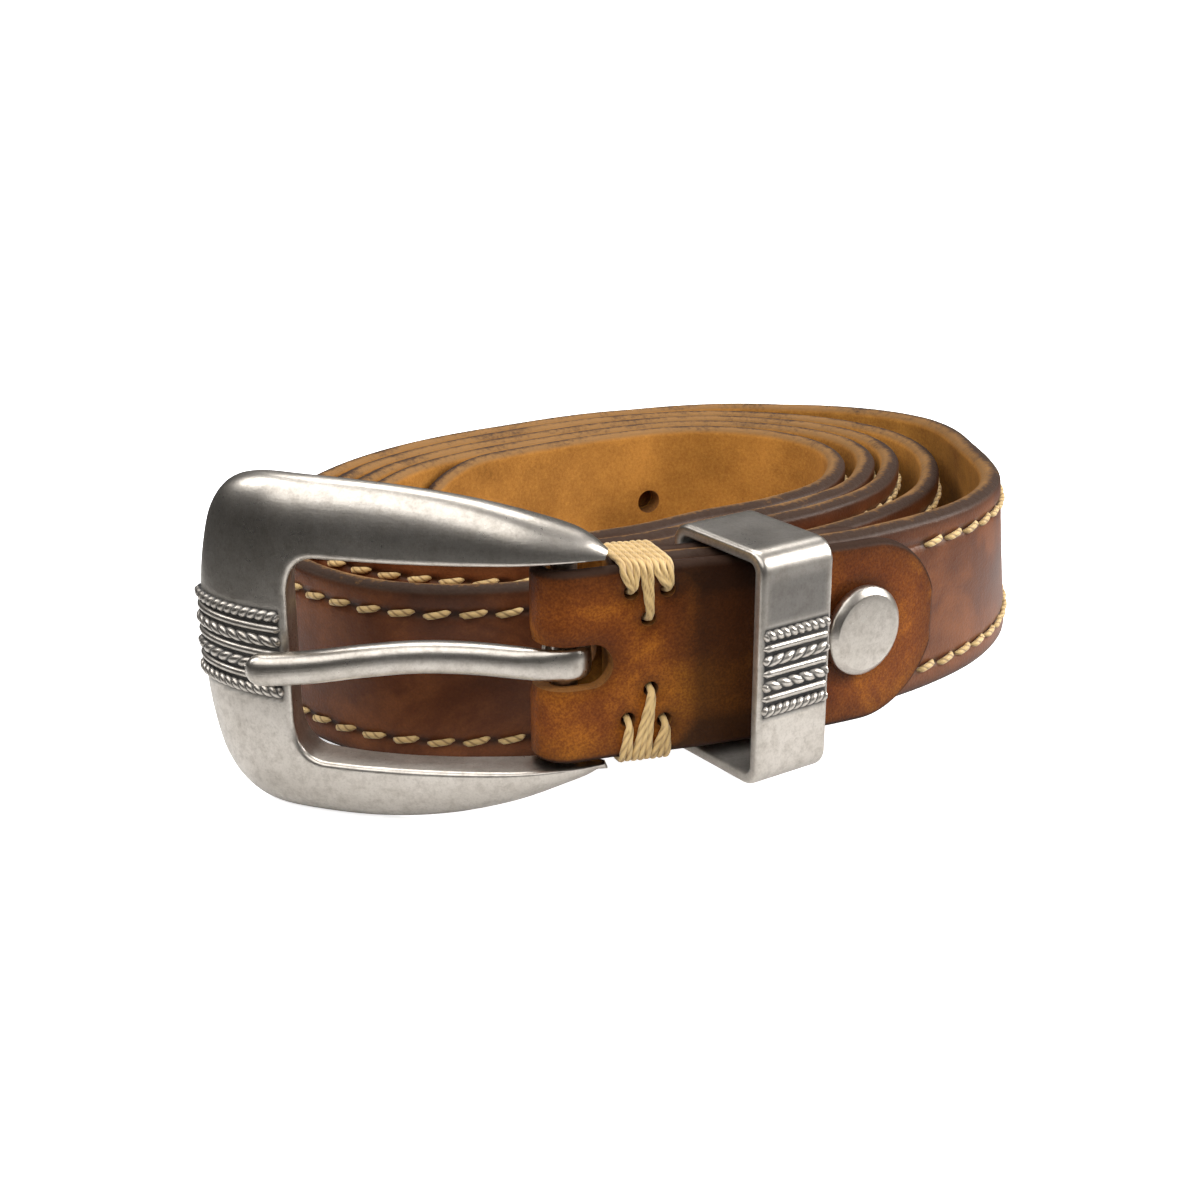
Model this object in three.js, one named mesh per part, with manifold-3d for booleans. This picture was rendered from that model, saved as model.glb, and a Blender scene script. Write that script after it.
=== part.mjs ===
// A western belt coiled on its edge: a stitched strap, a folded chape, a cast buckle, a keeper and a rivet.
// Millimetres, +Z up. The belt stands on z = 0, and its buckle faces -Y.
import * as THREE from "three";
import { mergeVertices } from "three/addons/utils/BufferGeometryUtils.js";
import Module from "manifold-3d";

const wasm = await Module();
wasm.setup();

// Leather
const STRAP_WIDTH = 20;
const STRAP_THICKNESS = 2.4;
const CHAPE_WIDTH = 19.6;
const CHAPE_THICKNESS = 1.7;
const EDGE_ROUND = 0.6;
const CLEARANCE = 0.3;

// Buckle, round the bar's own axis
const BAR_RADIUS = 1.3;
const FOLD_RADIUS = BAR_RADIUS + CLEARANCE + CHAPE_THICKNESS / 2;
const BAR_TO_STRAP = 4.3;
const FRAME_HALF_HEIGHT = 17.4;
const WINDOW_HALF_HEIGHT = 10.45;
const WINDOW_DROP = 0.4;
const WINDOW_END = 26.4;
const PRONG_RADIUS = 1.6;
const PRONG_DROP = 0.45;
const EYE_INNER = BAR_RADIUS + CLEARANCE;
const EYE_OUTER = 2.9;
const SLOT_HALF_HEIGHT = 2.2;
const SLOT_REACH = 3.8;

// Raised ropes and bands, seven rows across the buckle's closed end and the keeper's front
const ROW_SPACING = 1.3;
const ROPE_RADIUS = 0.78;
const BAND_RADIUS = 0.6;
const ROPE_PITCH = 1.25;
const ROW_KINDS = ["rope", "band", "rope", "band", "rope", "band", "rope"];

// Keeper
const KEEPER_WIDTH = 8.9;
const KEEPER_HEIGHT = 24.2;
const KEEPER_DEPTH = 14;
const KEEPER_WALL = 1.3;
const KEEPER_CORNER = 2.2;
const KEEPER_ALONG = 14.9;
const KEEPER_TURN = 35;
const KEEPER_FORWARD = 1.15;

// Rivet
const RIVET_ALONG = 26.3;
const RIVET_RAISE = 0.7;
const CHAPE_BEYOND_RIVET = 11.2;
const RIVET_HEAD_RADIUS = 4.7;
const RIVET_HEAD_HEIGHT = 1.4;
const RIVET_BEVEL = 0.7;
const RIVET_STEM_RADIUS = 2;
const RIVET_BACK_RADIUS = 4.2;
const RIVET_BACK_HEIGHT = 1.2;

// Adjusting holes, counted from the tail's tip
const HOLE_RADIUS = 1.6;
const HOLE_COUNT = 5;
const HOLE_SPACING = 25;
const FIRST_HOLE = 39.5;
const TAIL_ROUND = 15;

// The coil, seen from above: the radius of the strap's middle line by bearing, one column for each turn.
const COIL_ROWS = [
  { bearing: -120, turn1: 67.2, turn2: 47.9, turn3: 36.9, turn4: 33.8, turn5: 30.6 },
  { bearing: -90, turn1: 53.3, turn2: 37.9, turn3: 29.5, turn4: 26.4, turn5: 23.2 },
  { bearing: -60, turn1: 47.9, turn2: 32.2, turn3: 25.0, turn4: 22.1, turn5: 19.0 },
  { bearing: -30, turn1: 47.4, turn2: 33.8, turn3: 27.4, turn4: 24.4, turn5: 21.3 },
  { bearing: 0, turn1: 45.6, turn2: 39.1, turn3: 33.5, turn4: 30.3, turn5: 26.8 },
  { bearing: 30, turn1: 47.8, turn2: 42.9, turn3: 38.7, turn4: 35.3, turn5: 30.8 },
  { bearing: 60, turn1: 40.5, turn2: 37.2, turn3: 34.0, turn4: 30.8, turn5: 27.5 },
  { bearing: 90, turn1: 32.7, turn2: 29.6, turn3: 26.5, turn4: 23.4, turn5: 20.2 },
  { bearing: 120, turn1: 28.6, turn2: 25.8, turn3: 22.9, turn4: 20.1, turn5: 17.2 },
  { bearing: 150, turn1: 30.6, turn2: 27.6, turn3: 24.6, turn4: 21.6, turn5: 18.6 },
  { bearing: 180, turn1: 36.6, turn2: 33.5, turn3: 30.4, turn4: 27.3, turn5: 24.1 },
  { bearing: 210, turn1: 45.7, turn2: 40.4, turn3: 37.1, turn4: 33.9, turn5: 31.1 },
];
const TURN_NAMES = ["turn1", "turn2", "turn3", "turn4", "turn5"];
const BEARING_STEP = 30;
const START_BEARING = -91.5;
const END_BEARING = 1440 + 186;

// The first turn comes down from the buckle to the floor, and leans in at its top on the right.
const RISE_ROWS = [
  { bearing: -91, rise: 6.8 },
  { bearing: -75, rise: 6.3 },
  { bearing: -60, rise: 5.5 },
  { bearing: -30, rise: 5.0 },
  { bearing: 0, rise: 3.6 },
  { bearing: 30, rise: 1.7 },
  { bearing: 55, rise: 0.5 },
  { bearing: 85, rise: 0 },
];
const LEAN_DEGREES = 10;
const LEAN_FROM = -45;
const LEAN_TO = 60;

// The frame's half outline, from the arm's tip to the middle of the closed end.
const FRAME_ROWS = [
  { innerU: -3.9, innerW: WINDOW_HALF_HEIGHT, outerU: -4.2, outerW: 10.9, depth: 1.0 },
  { innerU: -2.2, innerW: WINDOW_HALF_HEIGHT, outerU: -2.5, outerW: 12.2, depth: 2.6 },
  { innerU: 0, innerW: WINDOW_HALF_HEIGHT, outerU: 0, outerW: 13.3, depth: 3.9 },
  { innerU: 5, innerW: WINDOW_HALF_HEIGHT, outerU: 5, outerW: 15.0, depth: 4.1 },
  { innerU: 11, innerW: WINDOW_HALF_HEIGHT, outerU: 11, outerW: 16.35, depth: 3.9 },
  { innerU: 17, innerW: WINDOW_HALF_HEIGHT, outerU: 17.6, outerW: 17.1, depth: 3.9 },
  { innerU: 21.5, innerW: WINDOW_HALF_HEIGHT, outerU: 24.5, outerW: 17.3, depth: 4.3 },
  { innerU: 24.1, innerW: 10.3, outerU: 29.3, outerW: 17.1, depth: 4.8 },
  { innerU: 25.6, innerW: 9.2, outerU: 32.4, outerW: 15.8, depth: 5.3 },
  { innerU: 26.3, innerW: 7.3, outerU: 34.4, outerW: 13.3, depth: 5.4 },
  { innerU: WINDOW_END, innerW: 5.0, outerU: 35.5, outerW: 10.0, depth: 5.5 },
  { innerU: WINDOW_END, innerW: 2.5, outerU: 36.2, outerW: 5.5, depth: 5.5 },
  { innerU: WINDOW_END, innerW: 0, outerU: 36.4, outerW: 0, depth: 5.5 },
];
const BOW_APEX = 6;
const BOW_FORWARD = 4.2;
const BOW_RADIUS_LEFT = 62;
const BOW_RADIUS_RIGHT = 21;

// The prong's middle line, from the eye to the blunt tip.
const PRONG_ROWS = [
  { u: 1.0, v: 1.2, w: 0 },
  { u: 4.5, v: 1.5, w: 0.05 },
  { u: 9, v: 1.0, w: 0.35 },
  { u: 14, v: 0.95, w: 0.45 },
  { u: 19, v: 1.6, w: 0.3 },
  { u: 24, v: 2.65, w: 0.1 },
  { u: 28, v: 3.0, w: 0 },
  { u: 30.2, v: 2.75, w: -0.05 },
];

const radians = THREE.MathUtils.degToRad;

const MATERIALS = {
  strap: new THREE.MeshStandardMaterial({ color: 0x8a4a2a, roughness: 0.55, metalness: 0 }),
  chape: new THREE.MeshStandardMaterial({ color: 0x9a5a20, roughness: 0.5, metalness: 0 }),
  metal: new THREE.MeshStandardMaterial({ color: 0xb5aca4, roughness: 0.35, metalness: 1 }),
};

// Uniform Catmull-Rom through equally spaced values.
function splineAt(values, position) {
  const last = values.length - 1;
  const index = Math.min(Math.max(Math.floor(position), 0), last - 1);
  const t = position - index;
  const at = (k) => values[Math.min(Math.max(k, 0), last)];
  const [a, b, c, d] = [at(index - 1), at(index), at(index + 1), at(index + 2)];
  const cubic = (3 * b - a - 3 * c + d) * t;
  return 0.5 * (2 * b + (c - a + (2 * a - 5 * b + 4 * c - d + cubic) * t) * t);
}

// A table's value at a bearing, eased between its rows.
function easedAt(rows, column, bearing) {
  const next = rows.findIndex((row) => row.bearing > bearing);
  if (next === 0) return rows[0][column];
  if (next < 0) return rows[rows.length - 1][column];
  const [from, to] = [rows[next - 1], rows[next]];
  const t = (bearing - from.bearing) / (to.bearing - from.bearing);
  return from[column] + (to[column] - from[column]) * t;
}

const coilRadii = TURN_NAMES.flatMap((turn) => COIL_ROWS.map((row) => row[turn]));

function coilPoint(bearing) {
  const radius = splineAt(coilRadii, (bearing - COIL_ROWS[0].bearing) / BEARING_STEP);
  return new THREE.Vector2(Math.cos(radians(bearing)), Math.sin(radians(bearing))).multiplyScalar(radius);
}

function leanAt(bearing) {
  if (bearing < LEAN_FROM || bearing > LEAN_TO) return 0;
  const share = (bearing - LEAN_FROM) / (LEAN_TO - LEAN_FROM);
  return radians(LEAN_DEGREES) * Math.sin(Math.PI * share) ** 2;
}

// The strap's middle line by length: samples every degree of bearing.
const COIL_SAMPLES = [];
for (let bearing = START_BEARING, length = 0; bearing <= END_BEARING; bearing += 1) {
  const point = coilPoint(bearing);
  if (COIL_SAMPLES.length) length += point.distanceTo(COIL_SAMPLES[COIL_SAMPLES.length - 1].point);
  COIL_SAMPLES.push({ bearing, point, length });
}
const STRAP_LENGTH = COIL_SAMPLES[COIL_SAMPLES.length - 1].length;

// Where the strap is after a length: its middle, its directions along, out of the coil and across its width.
function strapStation(length) {
  let k = COIL_SAMPLES.findIndex((sample) => sample.length > length);
  if (k < 0) k = COIL_SAMPLES.length - 1;
  k = Math.max(k, 1);
  const [from, to] = [COIL_SAMPLES[k - 1], COIL_SAMPLES[k]];
  const bearing = from.bearing + (length - from.length) / (to.length - from.length);
  const here = coilPoint(bearing);
  const along = coilPoint(bearing + 0.5).sub(coilPoint(bearing - 0.5)).normalize();
  const lean = leanAt(bearing);
  const out = new THREE.Vector3(along.y, -along.x, 0);
  const up = new THREE.Vector3(0, 0, 1);
  const across = up.clone().multiplyScalar(Math.cos(lean)).addScaledVector(out, -Math.sin(lean));
  const face = out.clone().multiplyScalar(Math.cos(lean)).addScaledVector(up, Math.sin(lean));
  const height = easedAt(RISE_ROWS, "rise", bearing) + STRAP_WIDTH / 2;
  return {
    centre: new THREE.Vector3(here.x, here.y, height),
    along: new THREE.Vector3(along.x, along.y, 0),
    face,
    across,
  };
}

// A closed body through rings of points, each ring in the same order, with flat ends.
function loft(rings) {
  const count = rings[0].length;
  const positions = rings.flat().flatMap((p) => [p.x, p.y, p.z]);
  const index = [];
  for (let r = 0; r < rings.length - 1; r++) {
    for (let k = 0; k < count; k++) {
      const [a, b] = [r * count + k, r * count + ((k + 1) % count)];
      index.push(a, b, b + count, a, b + count, a + count);
    }
  }
  const last = (rings.length - 1) * count;
  for (let k = 1; k < count - 1; k++) {
    index.push(0, k + 1, k);
    index.push(last, last + k, last + k + 1);
  }
  const geometry = new THREE.BufferGeometry();
  geometry.setAttribute("position", new THREE.Float32BufferAttribute(positions, 3));
  geometry.setIndex(index);
  return geometry;
}

// A three.js geometry as a solid that can be cut and joined.
function toSolid(geometry) {
  const bare = geometry.clone();
  for (const name of Object.keys(bare.attributes)) {
    if (name !== "position") bare.deleteAttribute(name);
  }
  const welded = mergeVertices(bare, 1e-4);
  const mesh = new wasm.Mesh({
    numProp: 3,
    vertProperties: new Float32Array(welded.attributes.position.array),
    triVerts: new Uint32Array(welded.index.array),
  });
  const solid = new wasm.Manifold(mesh);
  if (solid.volume() > 0) return solid;
  const { vertProperties, triVerts } = mesh;
  const turned = triVerts.map((v, i) => (i % 3 === 1 ? triVerts[i + 1] : i % 3 === 2 ? triVerts[i - 1] : v));
  return new wasm.Manifold(new wasm.Mesh({ numProp: 3, vertProperties, triVerts: turned }));
}

function toGeometry(solid) {
  const { vertProperties, triVerts, numProp } = solid.getMesh();
  const geometry = new THREE.BufferGeometry();
  geometry.setAttribute("position", new THREE.BufferAttribute(vertProperties, numProp));
  geometry.setIndex(new THREE.BufferAttribute(triVerts, 1));
  geometry.computeVertexNormals();
  return geometry;
}

function named(name, geometry, material) {
  const mesh = new THREE.Mesh(geometry, material);
  mesh.name = name;
  return mesh;
}

// A leather strip's section: a flat strip with its four edges rounded off.
function stripSection({ centre, face, across }, thickness, halfWidth) {
  const round = Math.min(EDGE_ROUND, halfWidth * 0.6);
  const [t, w] = [thickness / 2, halfWidth];
  const corners = [
    [t, -w + round], [t, w - round], [t - round, w], [-t + round, w],
    [-t, w - round], [-t, -w + round], [-t + round, -w], [t - round, -w],
  ];
  return corners.map(([out, up]) => centre.clone().addScaledVector(face, out).addScaledVector(across, up));
}

// Half the width of a strip near its round end.
function endHalfWidth(fromEnd, roundLength, width) {
  if (fromEnd >= roundLength) return width / 2;
  const share = 1 - fromEnd / roundLength;
  return Math.max((width / 2) * Math.sqrt(1 - share * share), 0.9);
}

// A rod between two points.
function rod(from, to, radius, sides = 16) {
  const length = from.distanceTo(to);
  const geometry = new THREE.CylinderGeometry(radius, radius, length, sides);
  const turn = new THREE.Quaternion().setFromUnitVectors(
    new THREE.Vector3(0, 1, 0), to.clone().sub(from).normalize());
  geometry.applyQuaternion(turn);
  const middle = from.clone().add(to).multiplyScalar(0.5);
  geometry.translate(middle.x, middle.y, middle.z);
  return geometry;
}

// A hole or a rivet's bore, straight through the strap's stack at a length and a height above its middle.
function boreAt(length, raise, radius, reach) {
  const { centre, face, across } = strapStation(length);
  centre.addScaledVector(across, raise);
  const [front, back] = [reach, -reach].map((by) => centre.clone().addScaledVector(face, by));
  return toSolid(rod(back, front, radius));
}

function makeStrap() {
  const step = 5.1;
  const lengths = [];
  for (let s = 0; s < STRAP_LENGTH - TAIL_ROUND; s += step) lengths.push(s);
  const tipShares = [1, 0.72, 0.5, 0.32, 0.18, 0.08, 0.02, 0];
  for (const share of tipShares) lengths.push(STRAP_LENGTH - TAIL_ROUND * share);
  const rings = lengths.map((s) => {
    const halfWidth = endHalfWidth(STRAP_LENGTH - s, TAIL_ROUND, STRAP_WIDTH);
    return stripSection(strapStation(s), STRAP_THICKNESS, halfWidth);
  });
  let solid = toSolid(loft(rings));
  for (let hole = 0; hole < HOLE_COUNT; hole++) {
    const at = STRAP_LENGTH - FIRST_HOLE - hole * HOLE_SPACING;
    solid = solid.subtract(boreAt(at, 0, HOLE_RADIUS, STRAP_THICKNESS));
  }
  solid = solid.subtract(boreAt(RIVET_ALONG, RIVET_RAISE, RIVET_STEM_RADIUS + CLEARANCE, STRAP_THICKNESS));
  return toGeometry(solid);
}

const foldStart = strapStation(0);
const BAR = foldStart.centre.clone().addScaledVector(foldStart.along, -BAR_TO_STRAP);

// A station on a leaf of the chape: side +1 is the front leaf, -1 the back leaf.
function leafStation(length, side) {
  const station = length > 0 ? strapStation(length) : { ...foldStart };
  const centre = station.centre.clone().addScaledVector(foldStart.along, Math.min(length, 0));
  centre.addScaledVector(station.face, side * FOLD_RADIUS);
  return { centre, face: station.face.clone().multiplyScalar(side), across: station.across };
}

// The chape: front leaf, the fold round the bar, back leaf, with the prong's slot and the rivet's bores.
function makeChape() {
  const end = RIVET_ALONG + CHAPE_BEYOND_RIVET;
  const leafLengths = [0, 0.3, 1.1, 2.4, 4.2, 6.6, 10].map((back) => end - back);
  for (let s = RIVET_ALONG - 3.5; s > 0; s -= 4.4) leafLengths.push(s);
  leafLengths.push(0, -BAR_TO_STRAP + 0.2);
  const leaf = (side) => leafLengths.map((s) => {
    const fromEnd = end - s;
    return { ...leafStation(s, side), halfWidth: endHalfWidth(fromEnd, CHAPE_WIDTH / 2, CHAPE_WIDTH) };
  });
  const foldAngles = [15, 45, 75, 105, 135, 165];
  const fold = foldAngles.map((angle) => {
    const face = foldStart.face.clone().multiplyScalar(Math.cos(radians(angle)));
    face.addScaledVector(foldStart.along, -Math.sin(radians(angle)));
    const centre = BAR.clone().addScaledVector(face, FOLD_RADIUS);
    return { centre, face, across: foldStart.across, halfWidth: CHAPE_WIDTH / 2 };
  });
  const stations = [...leaf(1), ...fold, ...leaf(-1).reverse()];
  let solid = toSolid(loft(stations.map((s) => stripSection(s, CHAPE_THICKNESS, s.halfWidth))));
  solid = solid.subtract(boreAt(RIVET_ALONG, RIVET_RAISE, RIVET_STEM_RADIUS + CLEARANCE, 2 * FOLD_RADIUS));
  return toGeometry(solid.subtract(slotCutter()));
}

// The slot's cutter: a flat slab with round ends, as high as the prong needs, through the fold and both leaves.
function slotCutter() {
  const shape = new THREE.Shape();
  const reach = 3 * FOLD_RADIUS;
  const end = SLOT_REACH - SLOT_HALF_HEIGHT;
  shape.moveTo(-reach, -SLOT_HALF_HEIGHT);
  shape.lineTo(end, -SLOT_HALF_HEIGHT);
  shape.absarc(end, 0, SLOT_HALF_HEIGHT, -Math.PI / 2, Math.PI / 2, false);
  shape.lineTo(-reach, SLOT_HALF_HEIGHT);
  shape.closePath();
  const slab = new THREE.ExtrudeGeometry(shape, { depth: 2 * reach, bevelEnabled: false, curveSegments: 8 });
  slab.translate(0, 0, -reach);
  const basis = new THREE.Matrix4().makeBasis(
    foldStart.along, new THREE.Vector3(0, 0, 1), foldStart.face);
  slab.applyMatrix4(basis.setPosition(BAR.x, BAR.y, FRAME_HALF_HEIGHT - PRONG_DROP));
  return toSolid(slab);
}

// Buckle coordinates: u leftwards from the bar, v forwards, w up from the frame's middle.
function placeBuckle(geometry) {
  geometry.rotateZ(Math.PI);
  geometry.translate(BAR.x, BAR.y, FRAME_HALF_HEIGHT);
  return geometry;
}

function bowAt(u) {
  const radius = u > BOW_APEX ? BOW_RADIUS_LEFT : BOW_RADIUS_RIGHT;
  return BOW_FORWARD - (u - BOW_APEX) ** 2 / (2 * radius);
}

// How far the frame's face falls back between the window's lip (0) and the outer edge (1).
function domeFall(share) {
  return 1 - Math.sqrt(1 - Math.min(share, 1) ** 2.4);
}

function frameSection({ innerU, innerW, outerU, outerW, depth }) {
  const bevel = Math.min(0.45, depth * 0.2);
  const face = [0.3, 0.55, 0.75, 0.9].map((share) => [share, -0.86 * depth * domeFall(share)]);
  const profile = [[0, -depth], [0, -bevel], [0.06, 0], ...face, [1, -0.82 * depth], [0.95, -depth]];
  return profile.map(([share, v]) => {
    const u = innerU + (outerU - innerU) * share;
    const w = innerW - WINDOW_DROP + (outerW - innerW + WINDOW_DROP) * share;
    return new THREE.Vector3(u, v + bowAt(u), w);
  });
}

// The frame's rows, doubled by interpolation and mirrored for the lower arm.
function frameSections() {
  const columns = Object.keys(FRAME_ROWS[0]);
  const at = (position) => Object.fromEntries(
    columns.map((column) => [column, splineAt(FRAME_ROWS.map((row) => row[column]), position)]));
  const upper = [];
  for (let position = 0; position < FRAME_ROWS.length; position += 0.5) {
    if (position <= FRAME_ROWS.length - 1) upper.push(at(position));
  }
  const lower = upper.slice(0, -1).reverse();
  const mirrored = lower.map((row) => ({ ...row, innerW: -row.innerW, outerW: -row.outerW }));
  return [...upper, ...mirrored].map(frameSection);
}

// One raised row along a path of { at, out } stations, round or twisted like a rope.
function raisedRow(stations, kind, side) {
  const sides = 6;
  const radius = kind === "rope" ? ROPE_RADIUS : BAND_RADIUS;
  const rings = stations.map(({ at, out, length }) => {
    const ring = [];
    for (let k = 0; k < sides; k++) {
      const angle = (2 * Math.PI * k) / sides;
      const twist = kind === "rope" ? 1 + 0.16 * Math.cos((2 * Math.PI * length) / ROPE_PITCH + 2 * angle) : 1;
      const point = at.clone().addScaledVector(out, radius * twist * Math.cos(angle));
      ring.push(point.addScaledVector(side, radius * twist * Math.sin(angle)));
    }
    return ring;
  });
  return toSolid(loft(rings));
}

// Stations along a surface curve, evenly spaced, each with its outward direction.
function stationsOn(curve, outward, kind) {
  const step = kind === "rope" ? ROPE_PITCH / 3 : ROPE_PITCH * 1.2;
  const count = Math.max(Math.round(curve.getLength() / step), 2);
  return curve.getSpacedPoints(count).map((at, k) => ({
    at, out: outward(curve.getTangentAt(k / count)), length: (k * curve.getLength()) / count,
  }));
}

// The row's curve over the frame's closed end, sunk a little into its face.
function frameRowStations(w, kind) {
  const sink = kind === "rope" ? 0.25 : 0.2;
  const points = [];
  for (let share = 0.07; share < 1.001; share += 0.093) {
    const { innerU, outerU, depth } = FRAME_ROWS[FRAME_ROWS.length - 1];
    const u = innerU + (outerU - innerU) * share;
    points.push(new THREE.Vector3(u, bowAt(u) - 0.86 * depth * domeFall(share) - sink, w));
  }
  const curve = new THREE.CatmullRomCurve3(points);
  return stationsOn(curve, (tangent) => new THREE.Vector3(-tangent.y, tangent.x, 0), kind);
}

function makeFrame() {
  let solid = toSolid(loft(frameSections()));
  const end = WINDOW_HALF_HEIGHT + 1.2;
  solid = solid.add(toSolid(rod(new THREE.Vector3(0, 0, -end), new THREE.Vector3(0, 0, end), BAR_RADIUS)));
  ROW_KINDS.forEach((kind, row) => {
    const w = (3 - row) * ROW_SPACING;
    solid = solid.add(raisedRow(frameRowStations(w, kind), kind, new THREE.Vector3(0, 0, 1)));
  });
  return placeBuckle(toGeometry(solid));
}

function makeProng() {
  const line = new THREE.CatmullRomCurve3(PRONG_ROWS.map(({ u, v, w }) => new THREE.Vector3(u, v, w)));
  const steps = 20;
  const sides = 12;
  const ringAt = (k, scale) => {
    const at = line.getPointAt(k / steps);
    const tangent = line.getTangentAt(k / steps);
    const out = new THREE.Vector3(-tangent.y, tangent.x, 0);
    return Array.from({ length: sides }, (_, i) => {
      const angle = (2 * Math.PI * i) / sides;
      const point = at.clone().addScaledVector(out, 0.84 * PRONG_RADIUS * scale * Math.cos(angle));
      return point.add(new THREE.Vector3(0, 0, PRONG_RADIUS * scale * Math.sin(angle)));
    });
  };
  const rings = [];
  for (let k = 0; k <= steps - 1; k++) rings.push(ringAt(k, 1));
  rings.push(ringAt(steps - 0.5, 0.96), ringAt(steps - 0.15, 0.8), ringAt(steps, 0.5));
  const eye = new THREE.LatheGeometry([
    new THREE.Vector2(EYE_INNER, -PRONG_RADIUS), new THREE.Vector2(EYE_OUTER - 0.4, -PRONG_RADIUS),
    new THREE.Vector2(EYE_OUTER, -PRONG_RADIUS + 0.5), new THREE.Vector2(EYE_OUTER, PRONG_RADIUS - 0.5),
    new THREE.Vector2(EYE_OUTER - 0.4, PRONG_RADIUS), new THREE.Vector2(EYE_INNER, PRONG_RADIUS),
    new THREE.Vector2(EYE_INNER, -PRONG_RADIUS),
  ], 24);
  eye.rotateX(Math.PI / 2);
  const hollow = rod(new THREE.Vector3(0, 0, -4), new THREE.Vector3(0, 0, 4), EYE_INNER, 24);
  const solid = toSolid(loft(rings)).subtract(toSolid(hollow)).add(toSolid(eye));
  const geometry = toGeometry(solid);
  geometry.translate(0, 0, -PRONG_DROP);
  return placeBuckle(geometry);
}

function roundedRectangle(path, halfX, halfY, corner) {
  path.moveTo(-halfX + corner, -halfY);
  path.lineTo(halfX - corner, -halfY);
  path.absarc(halfX - corner, -halfY + corner, corner, -Math.PI / 2, 0, false);
  path.absarc(halfX - corner, halfY - corner, corner, 0, Math.PI / 2, false);
  path.absarc(-halfX + corner, halfY - corner, corner, Math.PI / 2, Math.PI, false);
  path.absarc(-halfX + corner, -halfY + corner, corner, Math.PI, 1.5 * Math.PI, false);
  return path;
}

// The keeper: a bent band with its own x along the strap, y towards the coil and z up.
function makeKeeper() {
  const outline = roundedRectangle(new THREE.Shape(), KEEPER_HEIGHT / 2, KEEPER_DEPTH / 2, KEEPER_CORNER);
  outline.holes.push(roundedRectangle(
    new THREE.Path(), KEEPER_HEIGHT / 2 - KEEPER_WALL, KEEPER_DEPTH / 2 - KEEPER_WALL, KEEPER_CORNER - KEEPER_WALL));
  const band = new THREE.ExtrudeGeometry(outline, { depth: KEEPER_WIDTH, bevelEnabled: false, curveSegments: 5 });
  band.translate(0, 0, -KEEPER_WIDTH / 2);
  band.rotateY(-Math.PI / 2);
  let solid = toSolid(band);
  ROW_KINDS.forEach((kind, row) => {
    const sink = kind === "rope" ? 0.25 : 0.2;
    const z = (3 - row) * ROW_SPACING;
    const ends = [-KEEPER_WIDTH / 2 + 0.3, KEEPER_WIDTH / 2 - 0.3];
    const line = new THREE.LineCurve3(...ends.map((x) => new THREE.Vector3(x, -KEEPER_DEPTH / 2 + sink, z)));
    const stations = stationsOn(line, () => new THREE.Vector3(0, -1, 0), kind);
    solid = solid.add(raisedRow(stations, kind, new THREE.Vector3(0, 0, 1)));
  });
  return toGeometry(solid);
}

function placedKeeper() {
  const { centre, face } = strapStation(KEEPER_ALONG);
  const keeper = named("keeper_loop", makeKeeper(), MATERIALS.metal);
  keeper.position.copy(centre).addScaledVector(face, KEEPER_FORWARD);
  const strapTop = centre.z + STRAP_WIDTH / 2;
  keeper.position.z = strapTop + 1.5 * CLEARANCE + KEEPER_WALL - KEEPER_HEIGHT / 2;
  keeper.rotation.z = radians(KEEPER_TURN);
  return keeper;
}

// A turned piece of the rivet: its profile runs along the rivet's own axis, pointing out of the coil.
function turned(profile) {
  const geometry = new THREE.LatheGeometry(profile.map(([r, along]) => new THREE.Vector2(r, along)), 28);
  const { centre, face, across } = strapStation(RIVET_ALONG);
  centre.addScaledVector(across, RIVET_RAISE);
  geometry.applyQuaternion(new THREE.Quaternion().setFromUnitVectors(new THREE.Vector3(0, 1, 0), face));
  geometry.translate(centre.x, centre.y, centre.z);
  return toGeometry(toSolid(geometry));
}

const STACK_HALF = FOLD_RADIUS + CHAPE_THICKNESS / 2;
const CURVE_SAG = 0.15;

function makeRivetCap() {
  const seat = STACK_HALF + CLEARANCE;
  const crown = seat + RIVET_HEAD_HEIGHT;
  const tip = -STACK_HALF - CLEARANCE - CURVE_SAG - RIVET_BACK_HEIGHT / 2;
  return turned([
    [0, tip], [RIVET_STEM_RADIUS, tip], [RIVET_STEM_RADIUS, seat], [RIVET_HEAD_RADIUS, seat],
    [RIVET_HEAD_RADIUS, crown - RIVET_BEVEL], [RIVET_HEAD_RADIUS - RIVET_BEVEL, crown], [0, crown],
  ]);
}

function makeRivetBack() {
  const seat = -STACK_HALF - CLEARANCE - CURVE_SAG;
  const back = seat - RIVET_BACK_HEIGHT;
  const bore = RIVET_STEM_RADIUS + CLEARANCE;
  const floor = seat - RIVET_BACK_HEIGHT / 2 - CLEARANCE;
  return turned([
    [0, back], [RIVET_BACK_RADIUS - 0.4, back], [RIVET_BACK_RADIUS, back + 0.4], [RIVET_BACK_RADIUS, seat],
    [bore, seat], [bore, floor], [0, floor],
  ]);
}

const belt = new THREE.Group();
belt.add(named("strap", makeStrap(), MATERIALS.strap));
belt.add(named("chape", makeChape(), MATERIALS.chape));
belt.add(named("buckle_frame", makeFrame(), MATERIALS.metal));
belt.add(named("buckle_prong", makeProng(), MATERIALS.metal));
belt.add(placedKeeper());
belt.add(named("rivet_cap", makeRivetCap(), MATERIALS.metal));
belt.add(named("rivet_back", makeRivetBack(), MATERIALS.metal));

// The origin is the middle of the belt's floor area.
const bounds = new THREE.Box3().setFromObject(belt, true);
const middle = bounds.getCenter(new THREE.Vector3());
belt.position.set(-middle.x, -middle.y, -bounds.min.z);

export default belt;
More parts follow.
